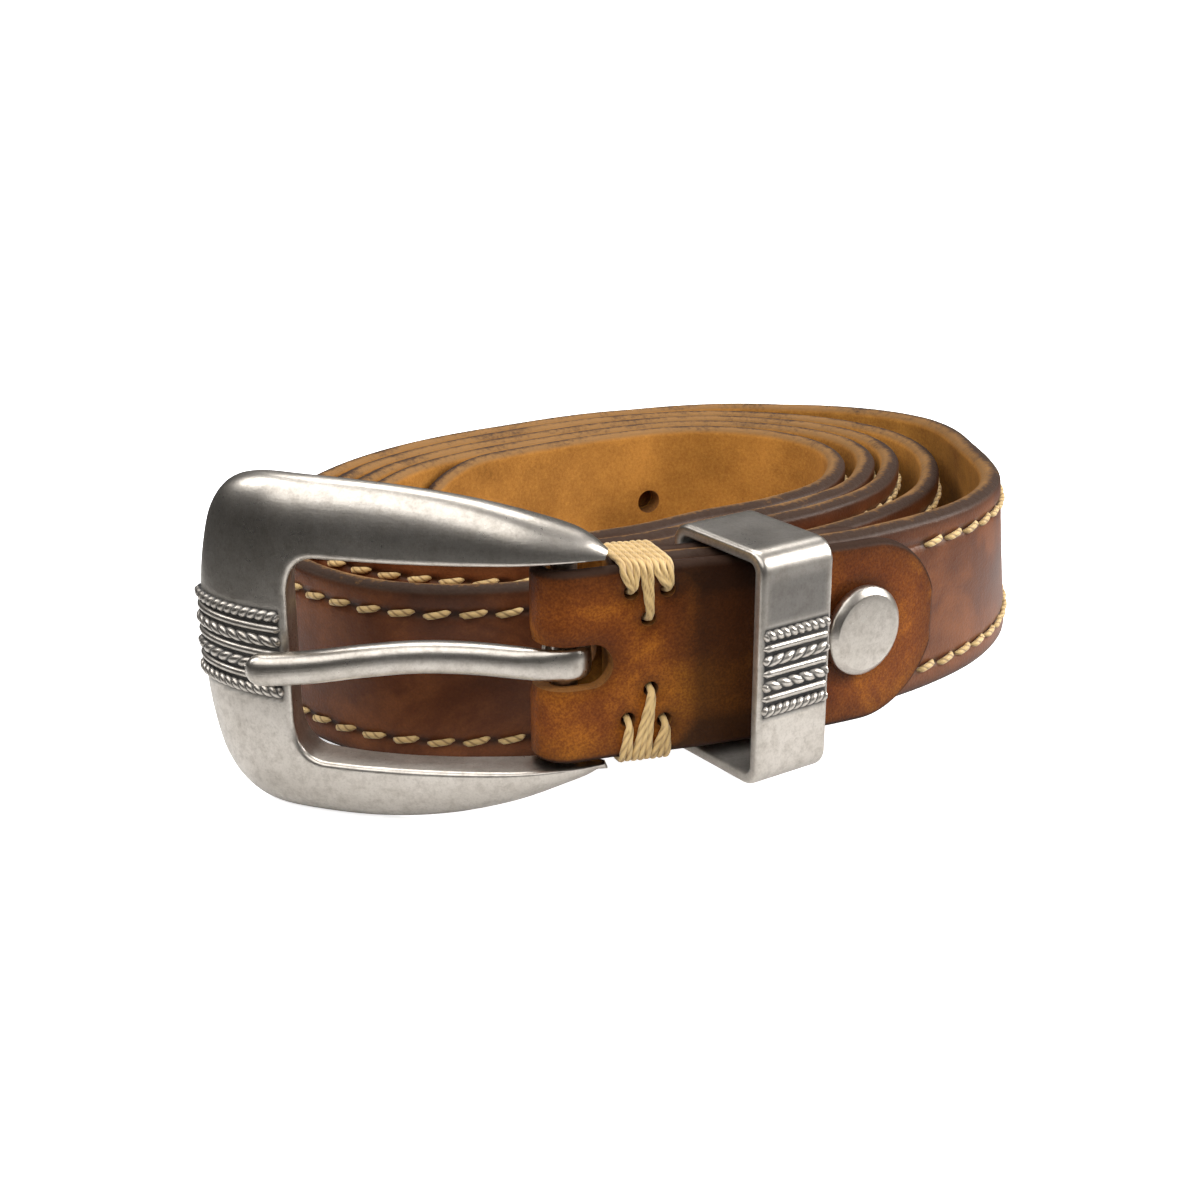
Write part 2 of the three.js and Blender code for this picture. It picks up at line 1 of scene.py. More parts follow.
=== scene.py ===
import math
import bpy
import numpy as np
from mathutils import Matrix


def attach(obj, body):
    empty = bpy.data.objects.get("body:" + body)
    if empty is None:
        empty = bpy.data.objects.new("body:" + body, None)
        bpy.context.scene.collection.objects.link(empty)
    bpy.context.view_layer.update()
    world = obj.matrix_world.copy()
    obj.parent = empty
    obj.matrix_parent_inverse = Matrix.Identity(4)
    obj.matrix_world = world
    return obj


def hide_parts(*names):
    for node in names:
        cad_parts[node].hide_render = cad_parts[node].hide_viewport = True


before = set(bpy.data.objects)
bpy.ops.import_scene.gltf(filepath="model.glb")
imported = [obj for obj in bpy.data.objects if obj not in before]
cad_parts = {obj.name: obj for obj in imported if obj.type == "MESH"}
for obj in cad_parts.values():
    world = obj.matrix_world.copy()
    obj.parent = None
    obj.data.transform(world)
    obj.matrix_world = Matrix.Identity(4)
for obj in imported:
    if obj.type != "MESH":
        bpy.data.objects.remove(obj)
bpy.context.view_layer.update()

# The camera stands close in front of the belt and looks down on it by 20 degrees.
camera_data = bpy.data.cameras.new("camera")
camera_data.lens = 54.0
camera_data.sensor_width = 36.0
camera_data.clip_start = 0.01
camera = bpy.data.objects.new("camera", camera_data)
bpy.context.scene.collection.objects.link(camera)
camera.location = (-0.004996, -0.205582, 0.080545)
camera.rotation_euler = (math.radians(90 - 19.63), 0.0, 0.0)
bpy.context.scene.camera = camera
bpy.context.scene.view_settings.view_transform = "Standard"

# The floor is one wide pale sheet. To the camera it glows white all over, painted light that hides its
# shadows. To the belt it shows a painted pool of light 10 cm round it and dark beyond, so the metal mirrors
# white below and dark above.
bpy.ops.mesh.primitive_plane_add(size=14.0, location=(0.0, 0.0, -0.0001))
floor = bpy.context.object
floor.name = "floor"


def add(tree, kind, values=None, links=None, **settings):
    """A node with its settings, its plain values and its incoming links."""
    node = tree.nodes.new(kind)
    for key, value in settings.items():
        setattr(node, key, value)
    for socket, value in (values or {}).items():
        node.inputs[socket].default_value = value
    for socket, source in (links or {}).items():
        tree.links.new(source, node.inputs[socket])
    return node


def new_material(name):
    material = bpy.data.materials.new(name)
    material.use_nodes = True
    return material, material.node_tree, material.node_tree.nodes["Principled BSDF"]


def feed(tree, pairs):
    for socket, value in pairs:
        if isinstance(value, bpy.types.NodeSocket):
            tree.links.new(value, socket)
        else:
            socket.default_value = value


paper, tree, shader = new_material("floor_paper")
shader.inputs["Roughness"].default_value = 0.9
shader.inputs["Specular IOR Level"].default_value = 0.1
shader.inputs["Emission Color"].default_value = (1.0, 1.0, 1.0, 1.0)
place = add(tree, "ShaderNodeTexCoord").outputs["Object"]
reach = add(tree, "ShaderNodeVectorMath", {}, {0: place}, operation="LENGTH").outputs["Value"]
seen = add(tree, "ShaderNodeLightPath").outputs["Is Camera Ray"]
# Painted light: unseen by the camera, the floor's colour falls from pale to dark between 7 and 11 cm out.
# Seen by the camera, it glows.
for goal, near, far, least, most, seen_near, seen_far in (
        ("Base Color", 0.074, 0.114, 0.64, 0.03, 0.93, 0.93),
        ("Emission Strength", 0.15, 1.0, 0.0, 0.0, 0.75, 1.0)):
    unseen, shown = (
        add(tree, "ShaderNodeMapRange",
            {"From Min": near, "From Max": far, "To Min": first, "To Max": last},
            {"Value": reach}).outputs["Result"]
        for first, last in ((least, most), (seen_near, seen_far)))
    choice = add(tree, "ShaderNodeMix", {}, {0: seen, 2: unseen, 3: shown})
    tree.links.new(choice.outputs[0], shader.inputs[goal])
floor.data.materials.append(paper)

# Plain soft studio light: a dim grey room and five soft boxes.
room = bpy.data.worlds.new("studio")
bpy.context.scene.world = room
room.use_nodes = True
tree = room.node_tree
place = add(tree, "ShaderNodeTexCoord").outputs["Generated"]
height = add(tree, "ShaderNodeSeparateXYZ", {}, {"Vector": place}).outputs["Z"]
ramp = add(tree, "ShaderNodeValToRGB", {}, {"Fac": height})
ramp.color_ramp.elements[0].position = 0.01
ramp.color_ramp.elements[0].color = (0.035, 0.035, 0.036, 1.0)
ramp.color_ramp.elements[1].position = 0.75
ramp.color_ramp.elements[1].color = (0.22, 0.22, 0.23, 1.0)
seen = add(tree, "ShaderNodeLightPath").outputs["Is Camera Ray"]
glow = add(tree, "ShaderNodeMix", {7: (1.2, 1.2, 1.2, 1.0)}, {0: seen, 6: ramp.outputs["Color"]},
           data_type="RGBA").outputs[2]
tree.links.new(glow, tree.nodes["Background"].inputs["Color"])
tree.nodes["Background"].inputs["Strength"].default_value = 0.9


def soft_box(name, place, aim, size, watts, mirrored=True):
    light = bpy.data.lights.new(name, "AREA")
    light.shape = "RECTANGLE"
    light.size, light.size_y = size
    light.energy = watts
    lamp = bpy.data.objects.new(name, light)
    bpy.context.scene.collection.objects.link(lamp)
    lamp.visible_glossy = mirrored
    lamp.location = place
    reach = np.array(aim) - np.array(place)
    flat = math.hypot(reach[0], reach[1])
    lamp.rotation_euler = (math.atan2(flat, -reach[2]), 0.0, math.atan2(-reach[0], reach[1]))


soft_box("box_front", (-0.25, -0.55, 0.90), (0.0, 0.0, 0.0), (1.5, 0.9), 9.0)
soft_box("box_fill", (-0.10, -0.75, 0.75), (0.0, 0.0, 0.0), (1.2, 0.8), 6.5, mirrored=False)
soft_box("box_above", (0.0, 0.40, 0.90), (0.0, 0.0, 0.0), (0.8, 0.5), 6.0)
soft_box("box_left", (-0.70, 0.10, 0.65), (0.0, -0.02, 0.02), (0.3, 0.5), 2.5)
soft_box("box_right", (0.85, 0.05, 0.42), (0.0, -0.02, 0.02), (0.45, 0.5), 11.0)

# Strap: one strip of belt leather, 20 mm wide and 1 m long, grain side out and flesh side in, wound up.
# Its edges are rounded and burnished, a groove takes the stitching along each edge, and five adjusting
# holes are punched near the tail. It is cut flat, and then wound into its coil.
MM = 0.001
STRAP_HALF = 10.0
STRAP_THICK = 2.4
STRAP_CORNER = 0.95
GROOVE_HALF = 0.42
GROOVE_DEPTH = 0.3
GROOVE_START = 37.0
GROOVE_SHADE = 0.45
RIM_FROM = 8.2
RIM_SPREAD = 1.5
HOLE_FROM_TAIL = 39.5
HOLE_STEP = 25.0
HOLE_COUNT = 5
HOLE_RADIUS = 1.6
STITCH_LINE = 7.1
STITCH_STEP = 3.6
STITCH_FIRST = 39.5
TAIL_ROUND = 15.0
RIVET_ALONG = 26.3
RIVET_RAISE = 0.7
RIVET_HOLE = 2.3
UV_UNIT = 10.0
COIL_FROM = -91.5
COIL_TO = 1626.0
FIRST_BEARING = -120.0
BEARING_STEP = 30.0
LEAN = math.radians(10.0)
LEAN_FROM = -45.0
LEAN_SPREAD = 105.0
COIL_CENTRE = np.array([-2.995, 11.418])
COIL_TURNS = np.array([
    [67.2, 47.9, 36.9, 33.8, 30.6],
    [53.3, 37.9, 29.5, 26.4, 23.2],
    [47.9, 32.2, 25.0, 22.1, 19.0],
    [47.4, 33.8, 27.4, 24.4, 21.3],
    [45.6, 39.1, 33.5, 30.3, 26.8],
    [47.8, 42.9, 38.7, 35.3, 30.8],
    [40.5, 37.2, 34.0, 30.8, 27.5],
    [32.7, 29.6, 26.5, 23.4, 20.2],
    [28.6, 25.8, 22.9, 20.1, 17.2],
    [30.6, 27.6, 24.6, 21.6, 18.6],
    [36.6, 33.5, 30.4, 27.3, 24.1],
    [45.7, 40.4, 37.1, 33.9, 31.1],
])
UP = np.array([0.0, 0.0, 1.0])
RISE = np.array([[-91, 6.8], [-75, 6.3], [-60, 5.5], [-30, 5.0], [0, 3.6], [30, 1.7], [55, 0.5], [85, 0.0]])


def smooth_through(values, at):
    """A smooth curve through evenly spaced values, read at positions counted in steps."""
    values = np.asarray(values, float)
    at = np.asarray(at, float)
    first = np.clip(np.floor(at).astype(int), 0, len(values) - 2)
    t = at - first
    a, b, c, d = (values[np.clip(first + k, 0, len(values) - 1)] for k in (-1, 0, 1, 2))
    if values.ndim > 1:
        t = t[..., None]
    return 0.5 * (2 * b + (c - a + (2 * a - 5 * b + 4 * c - d + (3 * b - a - 3 * c + d) * t) * t) * t)


def run_along(line):
    """How far along a line each of its points lies."""
    return np.append(0, np.cumsum(np.linalg.norm(np.diff(line, axis=0), axis=1)))


coil_radii = COIL_TURNS.T.ravel()


def coil_point(bearing):
    radius = smooth_through(coil_radii, (bearing - FIRST_BEARING) / BEARING_STEP)
    angle = np.radians(bearing)
    return np.stack([np.cos(angle) * radius, np.sin(angle) * radius], -1)


coil_bearing = np.append(np.arange(COIL_FROM, COIL_TO, 0.25), COIL_TO)
coil_length = run_along(coil_point(coil_bearing))
STRAP_LENGTH = coil_length[-1]


def wound(along, across, out):
    """Flat strap coordinates in mm, wound into the coil, in metres."""
    along = np.asarray(along, float)
    bearing = np.interp(along, coil_length, coil_bearing)
    here = coil_point(bearing)
    forward = coil_point(bearing + 0.5) - coil_point(bearing - 0.5)
    forward /= np.linalg.norm(forward, axis=-1, keepdims=True)
    here = here + forward * np.minimum(along, 0.0)[..., None] + COIL_CENTRE
    share = np.clip((bearing - LEAN_FROM) / LEAN_SPREAD, 0, 1)
    lean = (LEAN * np.sin(np.pi * share) ** 2)[..., None]
    away = np.stack([forward[..., 1], -forward[..., 0], 0 * bearing], -1)
    height = np.interp(bearing, RISE[:, 0], RISE[:, 1]) + STRAP_HALF
    centre = np.concatenate([here, height[..., None]], -1)
    side = UP * np.cos(lean) - away * np.sin(lean)
    face = away * np.cos(lean) + UP * np.sin(lean)
    return (centre + side * np.asarray(across)[..., None] + face * np.asarray(out)[..., None]) * MM


def wander(length, step, size, seed):
    """A gentle random change along a length in mm."""
    values = np.random.default_rng(seed).normal(0.0, size, int(np.ptp(length) / step) + 5)
    return smooth_through(values, (np.asarray(length) - np.min(length)) / step)


def points_of(piece):
    """A piece's points in mm."""
    spots = np.zeros(len(piece.data.vertices) * 3, np.float32)
    piece.data.vertices.foreach_get("co", spots)
    return spots.reshape(-1, 3).astype(float) / MM


def move_points(piece, places):
    piece.data.vertices.foreach_set("co", places.astype(np.float32).ravel())


def laid_grid(name, places, closed_along=False, flat_uv=None, marks=None, crease=40):
    """A grid primitive laid on rings of places, welded along its seam and closed at its ends."""
    rings, around = places.shape[:2]
    rows = rings if closed_along else rings - 1
    bpy.ops.mesh.primitive_grid_add(x_subdivisions=around, y_subdivisions=rows, size=1.0)
    piece = bpy.context.object
    piece.name = piece.data.name = name
    j, i = np.divmod(np.arange(len(piece.data.vertices)), around + 1)
    move_points(piece, places[j % rings, i % around])
    corner = np.zeros(len(piece.data.loops), np.int32)
    piece.data.loops.foreach_get("vertex_index", corner)
    if flat_uv is None:
        flat_uv = np.stack(np.meshgrid(np.arange(around + 1) / around, np.arange(rows + 1) / rows), -1)
    piece.data.uv_layers[0].data.foreach_set("uv", flat_uv[j[corner], i[corner]].astype(np.float32).ravel())
    for mark, values in (marks or {}).items():
        layer = piece.data.attributes.new(mark, "FLOAT", "POINT")
        layer.data.foreach_set("value", values[j % rings, i % around].astype(np.float32))
    bpy.ops.object.mode_set(mode="EDIT")
    bpy.ops.mesh.select_all(action="SELECT")
    bpy.ops.mesh.remove_doubles(threshold=2e-6)
    bpy.ops.mesh.select_all(action="DESELECT")
    bpy.ops.mesh.select_mode(type="EDGE")
    bpy.ops.mesh.select_non_manifold(extend=False, use_wire=False, use_multi_face=False, use_verts=False)
    bpy.ops.mesh.fill_holes(sides=0)
    bpy.ops.mesh.select_all(action="SELECT")
    bpy.ops.mesh.normals_make_consistent(inside=False)
    bpy.ops.object.mode_set(mode="OBJECT")
    bpy.ops.object.shade_smooth_by_angle(angle=math.radians(crease))
    return piece


def joined(name, parts):
    """Joins the parts into the first of them, under a new name."""
    bpy.ops.object.select_all(action="DESELECT")
    for part in parts:
        part.select_set(True)
    bpy.context.view_layer.objects.active = parts[0]
    bpy.ops.object.join()
    piece = bpy.context.object
    piece.name = piece.data.name = name
    return piece


def strip_section(half_width, half_thick, corner, stops, dip):
    """Points round a strip's section as (across, out), grain side first, with its edges rounded."""
    across = np.array([-s for s in reversed(stops) if s > 0] + list(stops)) * (half_width - corner)
    sunk = dip * np.exp(-((np.abs(across) - STITCH_LINE) / GROOVE_HALF) ** 2)
    turn = np.radians([75, 50, 25, 0, -25, -50, -75])
    edge = np.stack([half_width - corner + corner * np.cos(turn), half_thick * np.sin(turn)], -1)
    grain = np.stack([across, half_thick - sunk], -1)
    flesh = np.stack([across[::-1], 0 * across - half_thick], -1)
    return np.concatenate([grain, edge, flesh, -edge])


def round_end(from_end, length, least):
    """The share of its full width that a strip has near its round end."""
    share = np.clip(1 - np.asarray(from_end) / length, 0, 1)
    return np.maximum(np.sqrt(1 - share ** 2), least)


def new_group(name, inputs, outputs):
    group = bpy.data.node_groups.new(name, "ShaderNodeTree")
    for socket, kind, value in inputs:
        made = group.interface.new_socket(socket, in_out="INPUT", socket_type="NodeSocket" + kind)
        made.default_value = value
    for socket, kind in outputs:
        group.interface.new_socket(socket, in_out="OUTPUT", socket_type="NodeSocket" + kind)
    return group, group.nodes.new("NodeGroupInput").outputs, group.nodes.new("NodeGroupOutput").inputs


def mix(tree, factor, first, second, blend="MIX"):
    node = tree.nodes.new("ShaderNodeMix")
    node.data_type = "RGBA"
    node.blend_type = blend
    feed(tree, ((node.inputs[0], factor), (node.inputs[6], first), (node.inputs[7], second)))
    return node.outputs[2]


def sums(tree, operation, first, second=0.0, third=0.0, clamp=False):
    node = tree.nodes.new("ShaderNodeMath")
    node.operation = operation
    node.use_clamp = clamp
    feed(tree, zip(node.inputs, (first, second, third)))
    return node.outputs[0]


def scaled(tree, value, factor, plus=0.0, clamp=False):
    return sums(tree, "MULTIPLY_ADD", value, factor, plus, clamp)


def shared(tree, label, **values):
    """The outputs of one of the shared groups, with its colours and strengths set or linked."""
    node = add(tree, "ShaderNodeGroup", node_tree=bpy.data.node_groups[label])
    feed(tree, ((node.inputs[socket], value) for socket, value in values.items()))
    return node.outputs


def noise(tree, place, scale, detail=4.0, roughness=0.6, distortion=0.0):
    values = {"Scale": scale, "Detail": detail, "Roughness": roughness, "Distortion": distortion}
    return add(tree, "ShaderNodeTexNoise", values, {"Vector": place}).outputs["Fac"]


# The dyed grain side: cloudy patches, fine pores, wrinkles and golden specks, darker towards the rim and
# where painted shade is fed in.
group, given, result = new_group(
    "dyed_grain",
    [("Dark", "Color", (0.1, 0.04, 0.02, 1)), ("Middle", "Color", (0.2, 0.08, 0.03, 1)),
     ("Light", "Color", (0.3, 0.12, 0.05, 1)), ("Rim", "Float", 0.0), ("Speckle", "Float", 0.4)],
    [("Color", "Color"), ("Roughness", "Float"), ("Height", "Float")])
place = add(group, "ShaderNodeTexCoord").outputs["Object"]
clouds = noise(group, place, 85.0, 5.0, 0.6, 0.4)
specks = noise(group, place, 4300.0, 3.0, 0.65)
wrinkle = noise(group, place, 520.0, 4.0, 0.55)
pores = add(group, "ShaderNodeTexVoronoi", {"Scale": 2900.0}, {"Vector": place}).outputs["Distance"]
low = scaled(group, clouds, 4.0, -1.35, clamp=True)
high = scaled(group, clouds, 4.6, -2.25, clamp=True)
tone = mix(group, low, given["Dark"], given["Middle"])
tone = mix(group, high, tone, given["Light"])
speckle = scaled(group, specks, 3.4, -1.3, clamp=True)
grit = mix(group, speckle, (0.50, 0.42, 0.36, 1), (1.40, 1.45, 1.30, 1))
tone = mix(group, given["Speckle"], tone, mix(group, 1.0, tone, grit, "MULTIPLY"))
# The rim input also carries painted shade, and it darkens the tone towards near black.
tone = mix(group, scaled(group, given["Rim"], 0.94), tone, (0.014, 0.006, 0.0035, 1))
rough = scaled(group, clouds, 0.22, 0.30)
rough = scaled(group, specks, 0.16, rough)
height = scaled(group, pores, 0.45, scaled(group, wrinkle, 1.1))
height = scaled(group, specks, 0.5, height)
feed(group, ((result["Color"], tone), (result["Roughness"], rough), (result["Height"], height)))

# The flesh side: ochre suede with a short nap and darker stains.
group, given, result = new_group(
    "suede_flesh", [("Dark", "Color", (0.16, 0.07, 0.02, 1)), ("Light", "Color", (0.45, 0.22, 0.06, 1))],
    [("Color", "Color"), ("Height", "Float")])
place = add(group, "ShaderNodeTexCoord").outputs["Object"]
nap = noise(group, place, 2600.0, 4.0, 0.75)
stain = noise(group, place, 100.0, 5.0, 0.6)
shade = scaled(group, nap, 0.42, scaled(group, stain, 0.58))
shade = scaled(group, shade, 3.4, -1.15, clamp=True)
feed(group, ((result["Color"], mix(group, shade, given["Dark"], given["Light"])),
             (result["Height"], nap)))

# The cut rim: slicked nearly black, with paler fibres rubbed up through the dye.
group, given, result = new_group(
    "slicked_rim", [("Dark", "Color", (0.028, 0.014, 0.009, 1)), ("Fibre", "Color", (0.2, 0.13, 0.1, 1)),
                    ("Wear", "Float", 0.0)],
    [("Color", "Color"), ("Roughness", "Float"), ("Height", "Float")])
place = add(group, "ShaderNodeTexCoord").outputs["Object"]
fibres = noise(group, place, 1500.0, 6.0, 0.7)
rubbed = noise(group, place, 140.0, 4.0, 0.6)
worn = scaled(group, fibres, 0.55, scaled(group, rubbed, 0.45))
worn = sums(group, "ADD", worn, given["Wear"])
worn = scaled(group, worn, 5.0, -2.35, clamp=True)
feed(group, ((result["Color"], mix(group, worn, given["Dark"], given["Fibre"])),
             (result["Roughness"], scaled(group, fibres, 0.6, 0.5)),
             (result["Height"], fibres)))


def leather(name, dark, middle, light, speckle, suede_dark, suede_light, fibre, wear, gloss, shine):
    """Leather with its three sides: the dyed grain, the suede flesh and the slicked rim."""
    material, tree, shader = new_material(name)
    rim, side, line, pressed_and_shaded = (
        add(tree, "ShaderNodeAttribute", attribute_name=mark).outputs["Fac"]
        for mark in ("rim", "grain", "stitch_line", "pressed_and_shaded"))
    # The rim darkening and the pressed mark, which is partly painted shade, darken the grain's tone.
    rim_and_painted_shade = sums(tree, "ADD", rim, scaled(tree, pressed_and_shaded, 0.86), clamp=True)
    grain = shared(tree, "dyed_grain", Dark=dark, Middle=middle, Light=light, Speckle=speckle, Rim=rim_and_painted_shade)
    suede = shared(tree, "suede_flesh", Dark=suede_dark, Light=suede_light)
    edge = shared(tree, "slicked_rim", Fibre=fibre, Wear=scaled(tree, side, -0.30, wear + 0.15))
    cut = scaled(tree, rim, 2.6, -1.5, clamp=True)
    colour = mix(tree, side, suede["Color"], grain["Color"])
    colour = mix(tree, cut, colour, edge["Color"])
    rough = scaled(tree, side, sums(tree, "SUBTRACT", grain["Roughness"], 0.9), 0.9)
    rough = scaled(tree, cut, sums(tree, "SUBTRACT", edge["Roughness"], rough), rough)
    tall = sums(tree, "SUBTRACT", grain["Height"], suede["Height"])
    tall = scaled(tree, side, tall, suede["Height"])
    flat = add(tree, "ShaderNodeUVMap", uv_map="UVMap").outputs["UV"]
    flat = add(tree, "ShaderNodeSeparateXYZ", links={"Vector": flat}).outputs["Y"]
    pace = 2 * math.pi * UV_UNIT / STITCH_STEP
    beat = scaled(tree, flat, pace, -pace * STITCH_FIRST / UV_UNIT)
    beat = sums(tree, "COSINE", beat)
    beat = scaled(tree, beat, -0.5, 0.5)
    dent = scaled(tree, line, sums(tree, "POWER", beat, 3.0))
    colour = mix(tree, scaled(tree, line, 0.4), colour, (0.025, 0.01, 0.007, 1))
    colour = mix(tree, scaled(tree, dent, 0.8), colour, (0.006, 0.003, 0.002, 1))
    tall = scaled(tree, dent, -1.5, tall)
    # The coat is left off where the pressed mark lies, so its painted shade stays dark.
    bright = sums(tree, "SUBTRACT", sums(tree, "SUBTRACT", side, cut), pressed_and_shaded, clamp=True)
    bump = add(tree, "ShaderNodeBump", {"Strength": 0.55, "Distance": 0.00011}, {"Height": tall})
    feed(tree, ((shader.inputs["Base Color"], colour), (shader.inputs["Roughness"], rough),
                (shader.inputs["Normal"], bump.outputs["Normal"]),
                (shader.inputs["Coat Weight"], scaled(tree, bright, gloss))))
    shader.inputs["Specular IOR Level"].default_value = shine
    shader.inputs["Specular Tint"].default_value = (1.0, 0.82, 0.66, 1)
    shader.inputs["Coat Tint"].default_value = (1.0, 0.90, 0.80, 1)
    shader.inputs["Coat Roughness"].default_value = 0.30
    return material


strap_stops = [0, 0.2, 0.4, 0.58, 0.68, 0.73, 0.76, 0.785, 0.81, 0.84, 0.89, 0.95, 1.0]
strap_ring = strip_section(STRAP_HALF, STRAP_THICK / 2, STRAP_CORNER, strap_stops, GROOVE_DEPTH)
strap_run = np.concatenate([
    np.arange(0, STRAP_LENGTH - TAIL_ROUND, 1.05),
    STRAP_LENGTH - TAIL_ROUND * np.linspace(1, 0, 24) ** 1.8,
])
strap_width = round_end(STRAP_LENGTH - strap_run, TAIL_ROUND, 0.09) * (1 + wander(strap_run, 14, 0.0018, 3))
strap_depth = round_end(STRAP_LENGTH - strap_run, 0.9, 0.4) * (1 + wander(strap_run, 9, 0.006, 4))
strap_girth = run_along(np.vstack([strap_ring, strap_ring[:1]]))
strap_uv = np.stack(np.meshgrid(strap_girth, strap_run), -1) / UV_UNIT
strap_rim = np.clip((np.abs(strap_ring[:, 0]) - RIM_FROM) / RIM_SPREAD, 0, 1) ** 1.4
strap_grain = np.clip(strap_ring[:, 1] / (STRAP_THICK / 2) + 0.5, 0, 1)
strap_line = np.exp(-((np.abs(strap_ring[:, 0]) - STITCH_LINE) / GROOVE_SHADE) ** 2)
strap_line = strap_line * (strap_ring[:, 1] > 0)
strap_marks = {
    mark: np.tile(values, (len(strap_run), 1))
    for mark, values in (("rim", strap_rim), ("grain", strap_grain), ("stitch_line", strap_line))
}
strap_marks["stitch_line"][strap_run < GROOVE_START] = 0
strap = laid_grid(
    "strap_leather_strip",
    wound(np.repeat(strap_run[:, None], len(strap_ring), 1), strap_ring[:, 0] * strap_width[:, None],
          strap_ring[:, 1] * strap_depth[:, None]),
    flat_uv=strap_uv, marks=strap_marks)
strap.data.materials.append(leather(
    "strap_leather", dark=(0.075, 0.022, 0.009, 1), middle=(0.135, 0.041, 0.014, 1),
    light=(0.205, 0.070, 0.025, 1), speckle=0.28, suede_dark=(0.17, 0.066, 0.010, 1),
    suede_light=(0.44, 0.190, 0.034, 1), fibre=(0.20, 0.100, 0.033, 1), wear=0.03, gloss=0.14, shine=0.30))

raw_leather, tree, shader = new_material("raw_leather")
raw_suede = shared(tree, "suede_flesh", Dark=(0.050, 0.017, 0.004, 1), Light=(0.30, 0.115, 0.015, 1))
raw_bump = add(tree, "ShaderNodeBump", {"Strength": 0.5, "Distance": 0.0001},
               {"Height": raw_suede["Height"]})
tree.links.new(raw_suede["Color"], shader.inputs["Base Color"])
tree.links.new(raw_bump.outputs["Normal"], shader.inputs["Normal"])
shader.inputs["Roughness"].default_value = 0.8


def cut_away(piece, cutters):
    """Cuts the joined cutters out of a piece and leaves raw leather on the cut walls."""
    for cutter in cutters:
        cutter.data.materials.append(raw_leather)
    punch = joined("punch", cutters)
    bpy.ops.object.select_all(action="DESELECT")
    piece.select_set(True)
    bpy.context.view_layer.objects.active = piece
    cut = piece.modifiers.new("cut", "BOOLEAN")
    cut.operation = "DIFFERENCE"
    cut.solver = "EXACT"
    cut.material_mode = "TRANSFER"
    cut.object = punch
    bpy.ops.object.modifier_apply(modifier="cut")
    bpy.data.objects.remove(punch)
    bpy.ops.object.shade_smooth_by_angle(angle=math.radians(40))


def round_punch(start, end, radius):
    """A round cutter between two points in metres."""
    reach = np.array(end) - np.array(start)
    turn = (0, math.acos(reach[2] / np.linalg.norm(reach)), math.atan2(reach[1], reach[0]))
    bpy.ops.mesh.primitive_cylinder_add(vertices=28, radius=radius * MM, depth=np.linalg.norm(reach),
                                        location=(np.array(start) + np.array(end)) / 2, rotation=turn)
    return bpy.context.object


strap_holes = [(STRAP_LENGTH - HOLE_FROM_TAIL - HOLE_STEP * hole, 0.0, HOLE_RADIUS)
               for hole in range(HOLE_COUNT)]
strap_holes.append((RIVET_ALONG, RIVET_RAISE, RIVET_HOLE))
cut_away(strap, [round_punch(wound(s, y, -2.6), wound(s, y, 2.6), r) for s, y, r in strap_holes])
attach(strap, "belt")
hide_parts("strap")

# Stitching: waxed golden thread, sewn by hand along both edges of the strap's grain side with one
# twisted stitch every 3.6 mm, each pulled down at its ends. The flesh side shows none.
STITCH_END = 5.0
STITCH_HALF = 1.42
STITCH_RADIUS = 0.38
STITCH_SLANT = math.radians(11)
stitch_count = int((STRAP_LENGTH - STITCH_END - STITCH_FIRST) / STITCH_STEP)

thread, tree, shader = new_material("waxed_thread")
thread_place = add(tree, "ShaderNodeTexCoord").outputs["Object"]
thread_fuzz = noise(tree, thread_place, 3800.0, 3.0, 0.7)
thread_soil = noise(tree, thread_place, 240.0, 3.0, 0.6)
thread_valley_shade = add(tree, "ShaderNodeAttribute", attribute_name="valley_shade").outputs["Fac"]
thread_flat = add(tree, "ShaderNodeUVMap").outputs["UV"]
thread_flat = add(tree, "ShaderNodeSeparateXYZ", links={"Vector": thread_flat}).outputs
thread_ply = scaled(tree, thread_flat["Y"], -17.0, scaled(tree, thread_flat["X"], 4 * math.pi))
thread_ply = sums(tree, "COSINE", thread_ply)
# Painted shade: the valleys between the twisted plies, and the valleys marked on the lashings, are
# darkened.
thread_valley_shade = sums(tree, "MAXIMUM", thread_valley_shade, scaled(tree, thread_ply, -1.5, -0.5, clamp=True))
thread_tone = mix(tree, scaled(tree, thread_soil, 3.0, -1.0, clamp=True),
                  (0.46, 0.29, 0.10, 1), (0.64, 0.44, 0.18, 1))
thread_tone = mix(tree, scaled(tree, thread_fuzz, 0.35), thread_tone, (0.74, 0.56, 0.28, 1))
thread_tone = mix(tree, scaled(tree, thread_valley_shade, 0.8), thread_tone, (0.17, 0.085, 0.025, 1))
thread_bump = add(tree, "ShaderNodeBump", {"Strength": 0.6, "Distance": 0.00007},
                  {"Height": scaled(tree, thread_ply, 0.6, thread_fuzz)})
tree.links.new(thread_tone, shader.inputs["Base Color"])
tree.links.new(thread_bump.outputs["Normal"], shader.inputs["Normal"])
shader.inputs["Roughness"].default_value = 0.55
shader.inputs["Sheen Weight"].default_value = 0.15


